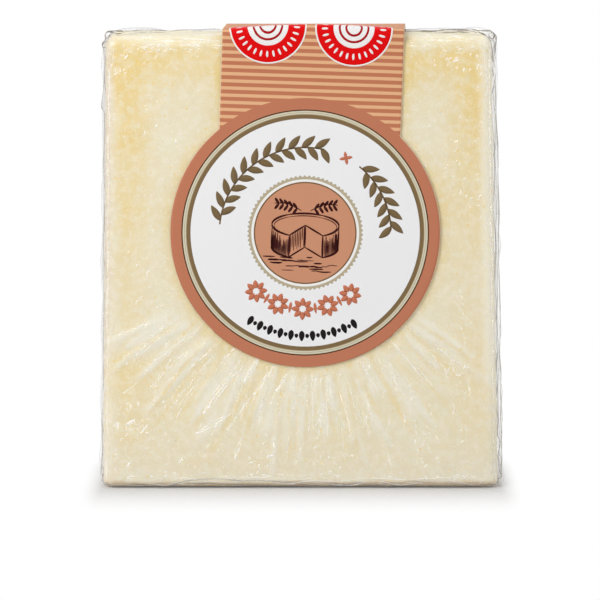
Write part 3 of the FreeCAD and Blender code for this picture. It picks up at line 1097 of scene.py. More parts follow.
# %% The folds
fold_list = (
    # left corner at the top: three loops and a painted glint
    (-2, 0.20, 0.0, ((-51.3, 116.0), (-50.7, 116.7), (-50.8, 117.7), (-50.2, 118.5), (-49.2, 118.7),
                     (-48.0, 118.7), (-46.9, 118.6), (-46.2, 118.2))),
    (-6, 0.16, 0.0, ((-50.3, 116.1), (-49.8, 117.3), (-49.4, 118.0), (-49.3, 118.7), (-48.7, 118.5),
                     (-47.8, 118.2), (-46.4, 118.4))),
    (-8, 0.15, 0.0, ((-50.3, 114.9), (-51.1, 114.9), (-51.3, 115.5), (-51.1, 116.1), (-50.4, 116.3),
                     (-50.1, 115.6), (-50.3, 114.9))),
    (-7, 0.12, 0.7, ((-49.6, 118.0), (-49.0, 118.4), (-48.2, 118.3), (-47.6, 118.4))),
    # over the top, left of the strap
    (3, 0.10, 0.1, ((-46.8, 118.0), (-45.0, 118.3), (-43.5, 118.5), (-41.6, 118.7),
                    (-38.8, 118.7), (-36.5, 118.5), (-34.1, 118.3), (-31.7, 118.5),
                    (-27.0, 118.6), (-21.4, 118.7))),
    (-3, 0.08, 0.3, ((-44.7, 118.2), (-42.8, 118.3), (-41.0, 118.4), (-38.6, 118.5),
                     (-36.3, 118.4), (-33.9, 118.1))),
    # left side: an outer and an inner fold
    (0, 0.13, 0.1, ((-51.6, 114.5), (-51.3, 112.0), (-51.2, 109.6), (-51.3, 107.2), (-51.4, 104.9),
                    (-51.8, 101.3), (-52.0, 99.0), (-51.7, 98.0), (-51.2, 97.1), (-51.3, 95.4),
                    (-51.3, 93.0), (-51.4, 88.0), (-51.6, 82.0), (-51.3, 76.0), (-51.5, 69.0),
                    (-51.9, 62.0), (-51.5, 55.0), (-51.6, 47.0), (-51.8, 40.1))),
    (-9, 0.10, 0.2, ((-50.2, 114.9), (-50.4, 112.6), (-50.6, 109.8), (-50.7, 107.0), (-50.6, 104.4),
                     (-50.4, 102.1), (-50.3, 98.6), (-50.6, 96.2), (-50.7, 93.9), (-50.7, 88.0),
                     (-50.4, 80.0), (-50.7, 71.0), (-50.5, 62.0), (-50.8, 52.0), (-50.7, 40.6))),
    (0, 0.14, 0.1, ((-51.8, 40.1), (-52.0, 36.6), (-51.7, 33.2), (-51.8, 29.8), (-51.9, 26.4),
                    (-52.0, 23.0), (-52.2, 19.5), (-52.5, 16.4), (-52.2, 14.0), (-52.3, 11.0),
                    (-52.2, 9.2), (-52.5, 5.8), (-52.7, 3.7), (-52.8, 1.9), (-52.4, 0.9),
                    (-51.6, 0.4))),
    (-9, 0.12, 0.2, ((-50.7, 40.6), (-50.9, 37.2), (-50.8, 33.5), (-51.1, 30.1), (-50.9, 26.1),
                     (-51.0, 22.3), (-51.4, 19.3), (-51.2, 15.5), (-51.1, 12.4), (-51.4, 9.7),
                     (-51.6, 7.3), (-51.4, 4.6), (-51.9, 2.9), (-52.1, 1.7))),
    (-4, 0.11, 0.2, ((-52.0, 5.6), (-52.5, 4.4), (-52.4, 3.0), (-51.8, 2.4), (-51.9, 4.0),
                     (-52.3, 5.0))),
    # right side: an outer and an inner fold, and a milky one beside the cheese
    (0, 0.14, 0.1, ((50.6, 115.4), (50.4, 112.4), (50.5, 109.4), (50.6, 105.4), (50.7, 101.5),
                    (50.8, 97.5), (50.9, 93.5), (51.2, 88.1), (51.3, 80.0), (51.6, 71.0),
                    (51.5, 62.0), (51.9, 52.0), (52.3, 40.1))),
    (-9, 0.12, 0.1, ((49.1, 112.7), (49.4, 110.9), (49.3, 109.3), (49.6, 106.9), (49.8, 105.6),
                     (49.2, 103.2), (48.9, 101.4), (49.0, 99.2), (49.3, 96.2), (49.6, 94.3),
                     (49.9, 88.9), (50.1, 81.0), (49.8, 73.0), (50.4, 64.0), (50.2, 55.0),
                     (50.7, 47.0), (50.9, 41.3))),
    (-4, 0.09, 0.4, ((50.0, 112.0), (50.2, 107.0), (49.9, 101.0), (50.5, 95.0), (50.3, 86.0),
                     (50.9, 76.0), (50.6, 65.0), (51.3, 54.0), (51.1, 44.0), (51.8, 33.0),
                     (51.5, 22.0), (52.1, 12.0), (51.9, 4.0))),
    (0, 0.14, 0.1, ((52.3, 40.1), (52.1, 33.8), (52.5, 28.6), (52.5, 24.4), (52.6, 20.5),
                    (52.5, 16.3), (52.7, 13.5), (52.6, 10.4), (52.8, 6.5), (52.6, 3.4),
                    (52.8, 1.6), (52.3, 0.8), (51.6, 0.4))),
    (-9, 0.13, 0.1, ((50.9, 41.3), (50.8, 37.9), (51.0, 35.1), (50.7, 32.3), (51.0, 28.9),
                     (51.0, 25.8), (50.7, 21.9), (51.4, 17.8), (51.3, 13.6), (52.0, 11.5),
                     (51.5, 8.4), (51.7, 4.9), (52.5, 2.8))),
    (-6, 0.12, 0.3, ((51.6, 8.6), (52.3, 7.2), (52.5, 5.4), (51.9, 4.4), (52.1, 3.0), (52.6, 1.8))),
    # broad waving milky folds beside the cheese, painted highlights: right, then left near the foot
    (-9, 0.24, 1.0, ((49.5, 114.0), (50.0, 110.0), (49.2, 104.9), (48.8, 100.9), (49.2, 98.0),
                     (49.4, 94.4), (50.1, 90.7), (50.2, 88.6), (49.5, 85.7), (49.4, 82.0),
                     (49.9, 78.7), (49.6, 75.1), (49.7, 71.0), (49.5, 65.2))),
    (-8, 0.20, 0.9, ((50.0, 62.0), (50.4, 56.0), (49.9, 50.0), (50.6, 45.0), (50.2, 39.0),
                     (50.9, 33.0), (50.5, 26.0), (51.2, 20.0), (50.8, 13.0), (51.4, 7.0))),
    (-9, 0.20, 0.9, ((-50.8, 34.0), (-50.9, 30.8), (-51.2, 26.6), (-51.6, 22.0), (-51.6, 18.6),
                     (-51.2, 16.0), (-51.7, 12.4), (-51.1, 9.6), (-52.0, 6.0), (-52.2, 2.8))),
    # right corner at the top: loops and a painted glint
    (0, 0.20, 0.0, ((45.7, 118.6), (46.9, 118.7), (48.7, 118.6), (49.9, 118.0), (50.6, 117.0),
                    (50.7, 115.6), (50.4, 114.2), (50.3, 112.6), (49.8, 110.4))),
    (-6, 0.24, 0.0, ((45.7, 118.6), (46.7, 118.2), (47.6, 117.6), (48.6, 116.8), (49.0, 115.4),
                     (49.4, 113.8), (49.5, 111.1))),
    (-4, 0.16, 0.0, ((48.7, 118.1), (49.6, 118.3), (50.0, 117.5), (49.4, 116.9), (48.7, 117.3),
                     (48.5, 117.9))),
    (-5, 0.18, 0.0, ((50.1, 117.6), (49.7, 116.6), (50.2, 115.6), (49.9, 114.4), (50.1, 113.2))),
    (-5, 0.12, 0.7, ((48.5, 118.5), (49.3, 118.0), (49.7, 117.0), (49.9, 116.0))),
    # over the top, right of the strap: four folds that cross
    (4, 0.15, 0.0, ((26.0, 118.7), (29.1, 118.7), (31.9, 118.5), (34.3, 118.3), (35.9, 118.4),
                    (39.1, 118.6), (43.1, 118.7), (44.7, 118.6), (46.1, 118.2), (47.5, 117.1))),
    (-2, 0.15, 0.0, ((26.0, 118.5), (29.0, 118.7), (31.9, 118.6), (34.1, 118.5), (36.9, 118.2),
                     (38.9, 118.1), (40.9, 118.3), (42.9, 118.1), (44.8, 117.8), (47.8, 117.1))),
    (2, 0.13, 0.0, ((35.8, 118.5), (38.0, 118.7), (41.0, 118.7), (44.0, 118.5), (45.6, 118.1))),
    (-5, 0.09, 0.6, ((33.8, 118.5), (35.8, 118.4), (37.8, 118.1), (39.8, 118.0), (42.7, 118.0),
                     (45.7, 117.7))),
)
# folds that lie on the front just above the floor, the milky ones as painted highlights:
# thickness, milk and points (across, up)
foot_fold_list = (
    (0.12, 0.3, ((-51.0, 1.6), (-48.0, 1.2), (-42.9, 0.8), (-38.9, 0.9), (-36.9, 1.4), (-34.2, 1.0),
                 (-31.5, 1.7), (-29.5, 2.2), (-22.8, 2.6), (-16.1, 2.2), (-9.3, 2.1), (-0.3, 1.6),
                 (6.5, 1.4), (11.0, 1.1), (14.1, 1.6), (18.9, 1.3), (23.7, 1.4), (28.8, 2.0),
                 (33.9, 1.6), (40.8, 1.4), (47.6, 1.3), (50.6, 1.4))),
    (0.12, 0.1, ((-46.0, 1.0), (-43.0, 1.2), (-37.9, 0.5), (-34.9, 0.5), (-31.5, 1.2), (-26.1, 1.4),
                 (-19.4, 1.2), (-9.3, 0.9), (-0.3, 0.8), (4.8, 0.6), (9.9, 0.8), (15.1, 1.0),
                 (22.0, 0.6), (23.7, 0.8), (30.5, 1.0), (37.4, 0.6), (44.2, 0.9), (50.0, 1.1))),
    (0.10, 0.7, ((-41.0, 1.8), (-36.0, 0.9), (-33.0, 1.6), (-30.0, 1.2), (-24.0, 1.9), (-18.0, 1.7),
                 (-12.0, 2.6), (-4.0, 1.3), (2.0, 1.9), (12.0, 0.8), (19.0, 2.1), (26.0, 1.0),
                 (36.0, 2.3), (45.0, 1.0))),
    (0.09, 0.9, ((-34.0, 2.0), (-31.0, 2.9), (-25.0, 2.3), (-13.0, 3.0), (-2.0, 2.5), (9.0, 2.0),
                 (17.0, 2.8), (27.0, 2.4), (38.0, 2.9), (48.0, 2.2))),
)


print(len(fold_list), "folds round the pack and", len(foot_fold_list), "along its foot")

# %% [markdown]
# A fold's depth sways a little along it, so it passes in front of its neighbours and behind
# them. The folds of the foot lie on the front of the film.

# %% The folds as tubes
depth_sway = 1.5
fold_thickness = 1.25
fold_clearance, top_clearance = 0.02, 0.05
points_per_corner, end_points, foot_points_per_corner = 6, 8, 10


def fold_curves(seed):
    """Each fold as a smooth, slightly trembling curve that thins out at both ends."""
    random = np.random.default_rng(seed)
    curves = []
    for depth, radius, white, points in fold_list:
        corners = np.array([(x, depth, z) for x, z in points])
        count = points_per_corner * len(corners) + end_points
        middle = smooth_curve(corners, count)
        middle[:, 1] += depth_sway * np.sin(np.linspace(0, 0.5 * len(corners), count) + depth)
        curves.append((middle, radius, white))
    for radius, white, points in foot_fold_list:
        corners = np.array([(x, 0.0, z) for x, z in points])
        middle = smooth_curve(corners, foot_points_per_corner * len(corners))
        middle[:, 1] = front_surface(middle[:, 0], middle[:, 2])[0] + fold_clearance
        curves.append((middle, radius, white))
    results = []
    for middle, radius, white in curves:
        count = len(middle)
        share = np.linspace(0, 1, count)
        swelling = uneven(random, share, depth=0.25, waves=0.35 * count)
        thinned = taper(count, margin=0.03, power=0.3)
        radii = fold_thickness * radius * swelling * thinned
        middle[:, 2] = np.clip(middle[:, 2], radii + fold_clearance,
                               pack_height - top_clearance - radii)
        results.append((middle, radii, white))
    return results


tube_piece("film_folds_and_glints", fold_curves(seed=37),
           film_material("folded_film_and_glints", 0.9, grey_from=0.05, grey=(74, 68, 62),
                         gloss_share=0.08, face_on=(216, 211, 204)))

# %% [markdown]
# ## The block of cheese
#
# The cheese fills the film on its two faces and is a little narrower at the sides. It carries the
# same soft creases, pressed into it by the film.

# %% Shape of the cheese
cheese_inset = 0.14
cheese_foot, cheese_top = 0.3, pack_height - 0.6
cheese_columns = block_columns(front=210, corner=6, side=16, back=80)
cheese_rows = block_rows(foot_rings=3, bend_rows=7, wall_rows=190, top_rings=8)
cheese_points, cheese_normals = block_surface(cheese_columns, cheese_rows, cheese_inset)
cheese_relief = face_relief(cheese_points, cheese_normals)
cheese_shape = cheese_points + cheese_normals * cheese_relief[..., None]
cheese_height = cheese_top - cheese_foot
cheese_shape[..., 2] = cheese_foot + cheese_shape[..., 2] * cheese_height / pack_height
print("cheese relief from", cheese_relief.min().round(2), "to", cheese_relief.max().round(2), "mm")

# %% [markdown]
# The colour of the cheese isn't even: it is cream in the middle, yellower near its edges and
# beside the label, paler where the film is lifted off it, and duller towards the foot, which is
# painted shade. Beside the label and right of the strap the yellow is partly painted shade, a soft
# shadow round the label, where the film is also pressed on. Each of those is a field, a number
# from 0 to 1 at every point of the mesh. The first field says how yellow the cheese is. It is the
# sum of a band along the edges, four soft spots, one of them painted shade right of the strap, a
# rim of painted shade round the label, a slow noise, and the narrow valleys between the long
# creases.

# %% Where the cheese is yellow
def blob(across, up, middle, half_size):
    """A soft spot, 1 at its middle: e ^ -((across / half size)^2 + (up / half size)^2)."""
    return np.exp(-((across - middle[0]) / half_size[0]) ** 2
                  - ((up - middle[1]) / half_size[1]) ** 2)


x, z = cheese_points[..., 0], cheese_points[..., 2]
from_side = block_width(z) / 2 - np.abs(x - block_shift(z))
from_top = pack_height - z
from_end = np.minimum(z, from_top)
from_edge = np.minimum(from_side, from_end)
wobbly_edge = from_edge + 1.2 * soft_noise(x, z, pitch=4.0, seed=74)
band_start = np.where((x > 0) & (from_side < from_end), 4.2, 6.0)
band = smooth_step(wobbly_edge, 0.8, band_start) * (1 - smooth_step(from_edge, 5.0, 17.0))
upper = smooth_step(z, 0.35 * pack_height, pack_height)
left_corner = 1.15 * blob(from_side, from_top, (4.5, 7), (4, 5))
right_corner = 0.5 * blob(from_side, from_top, (6, 10), (6, 7))
below_left = blob(x, z, (-36, 28), (16, 12))
# painted shade, as a yellow spot right of the strap
painted_shade_beside_strap = blob(x, from_top, (31, 16), (7, 8))
# painted shade, as yellow round the label, where the film is also pressed on
painted_shade_round_label = np.exp(-(outside_label(x, z) / 2.5) ** 2)
valley_folds = fan_of_folds(seed=6, count=44, middle_x=panel_shift, degrees=(-55, 50),
                            length=(8, 26), half_width=(0.35, 0.75), height=(0.5, 1.0))
valleys = fold_relief(x, z, valley_folds) * smooth_step(outside_label(x, z), 0.0, 1.0)
yellow_fields = (
    # share, field
    (1.0, band * (0.32 + 0.6 * upper + 0.14 * (x < 0))),
    (1.0, np.where(x < 0, left_corner, right_corner)),
    # painted shade round the label, partly film pressed on
    (0.6, painted_shade_round_label),
    (0.3, below_left),
    # painted shade right of the strap
    (0.25, painted_shade_beside_strap),
    (0.14, soft_noise(x, z, pitch=9.0, seed=71)),
    (0.6, valleys),
)
yellow = np.clip(sum(share * field for share, field in yellow_fields), 0, 1)
print("yellow on average", yellow.mean().round(2))

# %% [markdown]
# The other fields: pale where a crease lifts the film, greyer near the foot as painted shade,
# tan at the foot, and a darker rim on the left and a lighter one on the right, painted shade and
# painted light along the edges where the film leaves the cheese.

# %% Where the cheese is pale or tan, and where shade and light are painted on it
lifted = 0.25
pale = np.clip(fold_relief(x, z, front_folds) / lifted, 0, 1)
pale = np.clip(pale + 0.25 * soft_noise(x, z, pitch=5.0, seed=72), 0, 1) * (1 - 0.8 * valleys)
# painted shade, greyer towards the foot
painted_low_shade = 1 - smooth_step(z, 2.0, 20.0)
tan = 1 - smooth_step(z + 0.5 * soft_noise(x, z, pitch=4.0, seed=73), 0.8, 2.2)
# painted shade: a darker rim along the left edge
painted_shade_left_rim = (1 - smooth_step(from_side, 0.6, 3.4)) * (x < block_shift(z))
painted_shade_left_rim = painted_shade_left_rim * (0.35 + 0.65 * smooth_step(z, 20.0, 60.0))
# painted light: a lighter rim along the right edge
painted_light_right_rim = (1 - smooth_step(from_side, 1.5, 4.5)) * (x > 0) * smooth_step(z, 8.0, 40.0)
cheese_fields = {"yellow": yellow, "pale": pale, "painted_low_shade": painted_low_shade, "painted_shade_left_rim": painted_shade_left_rim,
                 "painted_light_right_rim": painted_light_right_rim, "tan": tan}
print("fields on average", {name: float(field.mean().round(2))
                            for name, field in cheese_fields.items()})

# %% [markdown]
# The material starts from cream and yellow, mixed by the first field. Every other field then
# lays its own colour over that, as strongly as the table says. Three layers of noise add pale
# mottling, fine white specks that are partly crumbs and partly painted glints of the film, and
# a few yellow flecks.

# %% Cheese material
cream, strong_yellow = (236, 227, 198), (237, 213, 148)
grains_per_mm, grain_height = 1.6, 0.05
field_layers = (
    # field, strongest share, colour
    ("pale", 0.75, (241, 237, 222)),
    # painted shade towards the foot
    ("painted_low_shade", 0.45, (233, 228, 213)),
    # painted shade on the left rim
    ("painted_shade_left_rim", 0.8, (220, 206, 186)),
    # painted light on the right rim
    ("painted_light_right_rim", 0.75, (251, 244, 224)),
    ("tan", 0.7, (212, 184, 146)),
)
blotch_layers = (
    # blotches to a millimetre, detail, noise where they start and are full, share, colour
    (0.5, 4.0, 0.45, 0.62, 0.3, (245, 240, 225)),
    # fine white specks: partly crumbs, partly painted glints of the film
    (1.3, 2.0, 0.60, 0.68, 0.4, (250, 247, 238)),
    (1.1, 0.0, 0.80, 0.85, 0.6, (240, 210, 112)),
)


def cheese_material():
    """Cream, yellow, pale, tan, painted shade and light by their fields; mottling and small flecks.
    """
    nodes = new_material("hard_goat_cheese")
    colour = nodes.mix(nodes.value("yellow"), paint(*cream), paint(*strong_yellow))
    for field, share, swatch in field_layers:
        share = nodes.math("MULTIPLY", nodes.value(field), share)
        colour = nodes.mix(share, colour, paint(*swatch))
    for per_mm, detail, low, high, share, swatch in blotch_layers:
        blotch = nodes.ramp(nodes.noise(per_mm, detail), low, high)
        colour = nodes.mix(nodes.math("MULTIPLY", blotch, share), colour, paint(*swatch))
    grain = nodes.bump(nodes.noise(grains_per_mm, 3.0), grain_height)
    shader = nodes.add("ShaderNodeBsdfPrincipled", {
        "Base Color": colour, "Normal": grain, "Roughness": 0.5, "Specular IOR Level": 0.2,
        "Subsurface Weight": 0.2, "Subsurface Radius": (1.0, 0.75, 0.45),
        "Subsurface Scale": 2 * MM})
    return nodes.finish(shader.outputs[0])


make_piece("cheese_block", cheese_shape.reshape(-1, 3), block_faces(*cheese_shape.shape[:2]),
           cheese_material(), ["vacuum_pack"],
           {name: field.ravel() for name, field in cheese_fields.items()})

# %% [markdown]
# ## The paper label
#
# The sheet is a grid in the flat label's own measure: rows run along it, and in each row the
# columns run from its left edge to its right edge, which belong to a round panel or to the
# strap, whichever is wider. An outer and an inner layer are joined round the rim, so the paper
# is a thin closed piece.

# %% Shape of the label
row_step = 0.45
end_rows = 40
paper_columns = 72
ripple, ripple_pitch = 0.03, 13.0


def label_rows(step):
    """Places along the label, in order.

    The rows are close at the round end of each panel, one step apart on the panels and half a
    step apart on the strap, and one lies where each edge of the strap meets a panel.
    """
    arc = panel_radius * np.cos(np.linspace(0, math.pi / 2, end_rows))
    half = strap_width / 2
    meets = [math.sqrt(panel_radius ** 2 - (half + side * strap_shift) ** 2) for side in (-1, 1)]
    panel_rows = np.concatenate([-arc, [0], np.arange(step, panel_radius, step), meets])
    strap_rows = np.arange(panel_radius, panel_to_panel - panel_radius, step / 2)
    rows = np.concatenate([panel_rows, strap_rows, panel_to_panel - panel_rows])
    return np.unique(np.round(rows, 4))


def label_edges(along):
    """Left and right edge of the label at each place along it: the wider of panel and strap."""
    near = np.minimum(np.abs(along), np.abs(along - panel_to_panel))
    panel = np.sqrt(np.clip(panel_radius ** 2 - near ** 2, 0, None))
    on_strap = (along > 0) & (along < panel_to_panel)
    half = np.where(on_strap, strap_width / 2, 0)
    left = np.minimum(-panel, np.where(on_strap, strap_shift - half, 0))
    right = np.maximum(panel, np.where(on_strap, strap_shift + half, 0))
    return left, right


def paper_wave(across, along):
    """Slight waviness of the glued paper, outwards only, in millimetres."""
    return ripple + ripple * soft_noise(across, along, ripple_pitch, seed=81)


paper_along = label_rows(row_step)
left_edge, right_edge = label_edges(paper_along)
paper_share = np.linspace(0, 1, paper_columns)[None, :]
flat_across = left_edge[:, None] + (right_edge - left_edge)[:, None] * paper_share
flat_along = paper_along[:, None] + 0 * flat_across
wave = paper_wave(flat_across, flat_along)
outer = wrap(flat_across, flat_along, paper_thickness + wave)
inner = wrap(flat_across, flat_along, wave)
paper_points = np.concatenate([outer.reshape(-1, 3), inner.reshape(-1, 3)])
paper_place = np.stack([flat_across, flat_along, 0 * flat_across], axis=-1).reshape(-1, 3)
paper_values = {"print_place": np.concatenate([paper_place, paper_place])}
print("label grid of", flat_across.shape, "points on each side of the paper")

# %% [markdown]
# ## The printed fields of colour
#
# All that is printed in rings and stripes is a function of the flat label's measure, so the
# material reads the stored place (across, along) in millimetres. The distance from the middle of
# the nearer panel gives the rings. The place along the strap, wrapped at the stripes' pitch,
# gives the stripes. Each field is laid over the one before.

# %% Label material
stripe_pitch = 1.849
stripe_share = 0.55
stripe_start = 37.82
stripe_blur = 0.03
light_stripe, dark_stripe = paint(228, 178, 135), paint(191, 121, 90)
terracotta = paint(191, 122, 93)
rings = (
    # outer radius, colour
    (panel_radius, terracotta),
    (32.0, paint(76, 54, 38)),
    (31.68, paint(213, 205, 181)),
    (31.28, paint(180, 173, 148)),
    (31.12, paint(213, 205, 181)),
    (30.80, paint(150, 130, 96)),
    (30.60, paint(127, 105, 74)),
    (29.64, paint(238, 238, 239)),
)
tooth_count, tooth_foot, tooth_slope = 39, 14.5, 1.05
tooth_colour = paint(183, 171, 145)
inner_rings = (
    (13.95, paint(240, 238, 234)),
    (13.3, paint(120, 92, 62)),
    (12.95, paint(203, 145, 114)),
)
cut_edge, bare_paper = 0.16, paint(222, 200, 168)
fibres_per_mm, fibre_height = 3.0, 0.012


def discs(nodes, colour, radius, table):
    """Discs of ink laid over a colour and over one another, from the widest one on."""
    for edge, ink in table:
        colour = nodes.mix(nodes.math("LESS_THAN", radius, edge), colour, ink)
    return colour


def label_material():
    """Striped strap, terracotta border and rings of colour on each round panel."""
    nodes = new_material("printed_label_paper")
    split = nodes.add("ShaderNodeSeparateXYZ", {0: nodes.vector("print_place")}).outputs
    across, along = split["X"], split["Y"]
    back_along = nodes.math("SUBTRACT", panel_to_panel, along)
    near_along = nodes.math("MINIMUM", nodes.math("ABSOLUTE", along),
                            nodes.math("ABSOLUTE", back_along))
    radius = nodes.distance(across, near_along)
    turns = nodes.math("DIVIDE", nodes.math("SUBTRACT", along, stripe_start), stripe_pitch)
    phase = nodes.math("FRACT", nodes.math("ADD", turns, 0.5))
    phase = nodes.math("ABSOLUTE", nodes.math("SUBTRACT", phase, 0.5))
    dark = nodes.ramp(phase, stripe_share / 2 + stripe_blur, stripe_share / 2 - stripe_blur)
    colour = discs(nodes, nodes.mix(dark, light_stripe, dark_stripe), radius, rings)
    angle = nodes.math("ARCTAN2", across, near_along)
    tooth = nodes.math("PINGPONG", nodes.math("MULTIPLY", angle, tooth_count / math.pi), 0.5)
    tooth_edge = nodes.math("ADD", nodes.math("MULTIPLY", tooth, tooth_slope), tooth_foot)
    colour = discs(nodes, colour, radius, ((tooth_edge, tooth_colour), *inner_rings))
    inside_panel = nodes.math("SUBTRACT", panel_radius, radius)
    beside = nodes.math("ABSOLUTE", nodes.math("SUBTRACT", across, strap_shift))
    inside_strap = nodes.math("SUBTRACT", strap_width / 2, beside)
    inside = nodes.math("MAXIMUM", inside_panel, inside_strap)
    colour = nodes.mix(nodes.math("LESS_THAN", inside, cut_edge), colour, bare_paper)
    grain = nodes.bump(nodes.noise(fibres_per_mm, 2.0), fibre_height)
    shader = nodes.add("ShaderNodeBsdfPrincipled", {
        "Base Color": colour, "Normal": grain, "Roughness": 0.5, "Specular IOR Level": 0.03})
    return nodes.finish(shader.outputs[0])


make_piece("paper_label", paper_points, closed_sheet_faces(*flat_across.shape),
           label_material(), ["label"], paper_values)

# %% [markdown]
# ## Ornaments in print
#
# Every ornament is a ribbon: a middle line on the flat label with a half width at each point,
# so a leaf, a stem, a line and a dot are all the same kind of shape. The ribbons of one ink are
# joined in one thin closed piece, wrapped round the pack a hair above the paper.

# %% Ribbons of ink
ink_height = 0.02


def ribbon_piece(name, middles, halves, material, slot, lift=0.0):
    """One thin closed piece from ribbons: middles (count, points, 2), halves (count, points)."""
    middles, halves = np.asarray(middles, float), np.asarray(halves, float)
    count, length = halves.shape
    aside = left_of(np.gradient(middles, axis=1))
    steps = np.array([-1.0, 0.0, 1.0])
    flat = middles[:, :, None, :] + aside[:, :, None, :] * (halves[:, :, None] * steps)[..., None]
    across, along = flat[..., 0], flat[..., 1]
    base = paper_thickness + paper_wave(across, along) + lift
    layers = [wrap(across, along, base + ink_height), wrap(across, along, base - ink_height)]
    points = np.stack(layers, axis=1).reshape(-1, 3)
    one = np.array(closed_sheet_faces(length, steps.size))
    starts = np.arange(count) * 2 * length * steps.size
    faces = (one[None, :, :] + starts[:, None, None]).reshape(-1, 4)
    piece = make_piece(name, points, faces.tolist(), material)
    outward(piece.data)
    return piece


def joined(drawings):
    """The middles and the half widths of several drawings, as two long lists."""
    middles, halves = zip(*drawings)
    return sum(middles, []), sum(halves, [])


ink_depth, ink_blotches_per_mm = 0.86, 2.2


def ink_material(name, swatch):
    """Matt print in one colour, very slightly uneven."""
    nodes = new_material(name)
    tone = paint(*swatch)
    darker = tuple(ink_depth * level for level in tone[:3]) + (1.0,)
    colour = nodes.mix(nodes.noise(ink_blotches_per_mm, 2.0), tone, darker)
    shader = nodes.add("ShaderNodeBsdfPrincipled", {"Base Color": colour, "Roughness": 0.5,
                       "Specular IOR Level": 0.08})
    return nodes.finish(shader.outputs[0])


olive_ink = ink_material("olive_ink", (124, 103, 72))
terracotta_ink = ink_material("terracotta_ink", (203, 122, 92))
dark_ink = ink_material("dark_brown_ink", (62, 20, 18))
black_ink = ink_material("black_ink", (28, 24, 24))
red_ink = ink_material("red_ink", (229, 6, 10))
dark_red_ink = ink_material("dark_red_ink", (176, 22, 30))
white_ink = ink_material("white_ink", (246, 244, 242))


def polar(radius, degrees):
    """Place on the flat label from a distance and an angle round the front panel's middle."""
    angle = np.radians(degrees)
    return np.stack([radius * np.cos(angle), radius * np.sin(angle)], axis=-1)


# %% [markdown]
# ### Two leafy sprigs
#
# A sprig is a stem that follows a circle, with leaves to both sides in turn. Two of them fill the
# upper half of the white field, and leave a space for a star between them.

# %% Sprigs
stem_half_width, leaf_half_width = 0.2, 1.0
leaf_reach, leaf_lean = 3.145, 8.5
leaf_roots = {-1: 0.7, 1: 0.25}
sprig_circle = 22.2
ribbon_points = 15
tip = 0.01


def sprig(radius, start, end, leaves):
    """Stem and leaves along an arc between two angles, as ribbon middles and half widths.

    Each length of stem carries a leaf on both sides, which leans towards the sprig's end.
    """
    share = np.linspace(0, 1, ribbon_points)
    lean = share ** 0.8 * np.sign(end - start) * leaf_lean
    leaf = leaf_half_width * np.sin(math.pi * share ** 0.85) ** 0.75 * (1 - 0.25 * share) + tip
    middles, halves = [], []
    for piece in range(leaves):
        low = start + (end - start) * piece / leaves
        high = start + (end - start) * (piece + 1) / leaves
        middles.append(polar(np.full(ribbon_points, radius), low + (high - low) * share))
        halves.append(np.full(ribbon_points, stem_half_width))
        for side, root in leaf_roots.items():
            root_angle = low + (high - low) * root
            middles.append(polar(radius + side * share * leaf_reach, root_angle + lean))
            halves.append(leaf)
    return middles, halves


left_sprig = sprig(sprig_circle, start=176, end=79, leaves=11)
right_sprig = sprig(sprig_circle, start=53, end=4, leaves=6)
ribbon_piece("leaf_sprigs", *joined([left_sprig, right_sprig]), olive_ink, "ink_olive")

# %% [markdown]
# ### The star, the rosettes and the beads
#
# A petal is a ribbon that starts near a point and ends in a tip away from it. Four of them make
# the star, eight make a rosette, and a single one makes a lozenge or a bead. The band under the
# picture carries rosettes with small lozenges between them in terracotta, and below them a row
# of dark beads.

# %% Star, rosettes and beads
petal_points = 11
star_circle, rosette_circle, bead_circle = 22.1, 19.8, 26.9


def petals(middle, count, length, half_width, turn, inner):
    """Petals round a point, from an inner radius to a length, the first one at the turn."""
    share = np.linspace(0, 1, petal_points)
    reach = inner + (length - inner) * share
    half = half_width * np.sin(math.pi * share ** 0.8) ** 0.7 + tip
    middles = [middle + polar(reach, turn + 360 * number / count) for number in range(count)]
    return middles, [half] * count


flowers = [petals(polar(star_circle, 63.5), count=4, length=1.75, half_width=0.42, turn=12,
                  inner=0.0)]
for angle in (-128, -109, -90, -71, -52):
    flowers.append(petals(polar(rosette_circle, angle), count=8, length=2.95, half_width=0.7,
                          turn=angle, inner=0.75))
for angle in (-118.5, -99.5, -80.5, -61.5):
    flowers.append(petals(polar(rosette_circle, angle), count=1, length=1.5, half_width=0.4,
                          turn=angle, inner=-1.5))
ribbon_piece("rosettes", *joined(flowers), terracotta_ink, "ink_terracotta")

beads = []
for number, angle in enumerate(np.linspace(-120, -60, 21)):
    length, half_width = (0.6, 0.5) if number % 2 else (1.4, 0.72)
    beads.append(petals(polar(bead_circle, angle), 1, length, half_width, angle, -length))
ribbon_piece("beads", *joined(beads), black_ink, "ink_dark")

# %% [markdown]
# ### The picture in the middle
#
# The picture is a wheel of cheese with a wedge cut out, on a strip of ground and under two
# sprigs. It is drawn in short strokes, as an old engraving is. Each stroke is a ribbon again,
# and its half width is the width of the pen.

# %% Engraving
stroke_margin, stroke_power = 0.04, 0.4


def even_out(share, line):
    """The places of a line (n, 2) at even shares of its own points."""
    own = np.linspace(0, 1, len(line))
    return np.stack([np.interp(share, own, line[:, axis]) for axis in (0, 1)], axis=-1)


def stroke(points, half_width, count=11):
    """A line through a few points, evened out and thinned at both ends."""
    middle = even_out(np.linspace(0, 1, count), np.asarray(points, float))
    return middle, half_width * taper(count, stroke_margin, stroke_power)


def arc_stroke(middle, radii, degrees, half_width, count=11):
    """A stroke along part of an ellipse, between two angles."""
    angle = np.radians(np.linspace(*degrees, count))
    line = np.stack([middle[0] + radii[0] * np.cos(angle), middle[1] + radii[1] * np.sin(angle)],
                    axis=-1)
    return line, half_width * taper(count, stroke_margin, stroke_power)


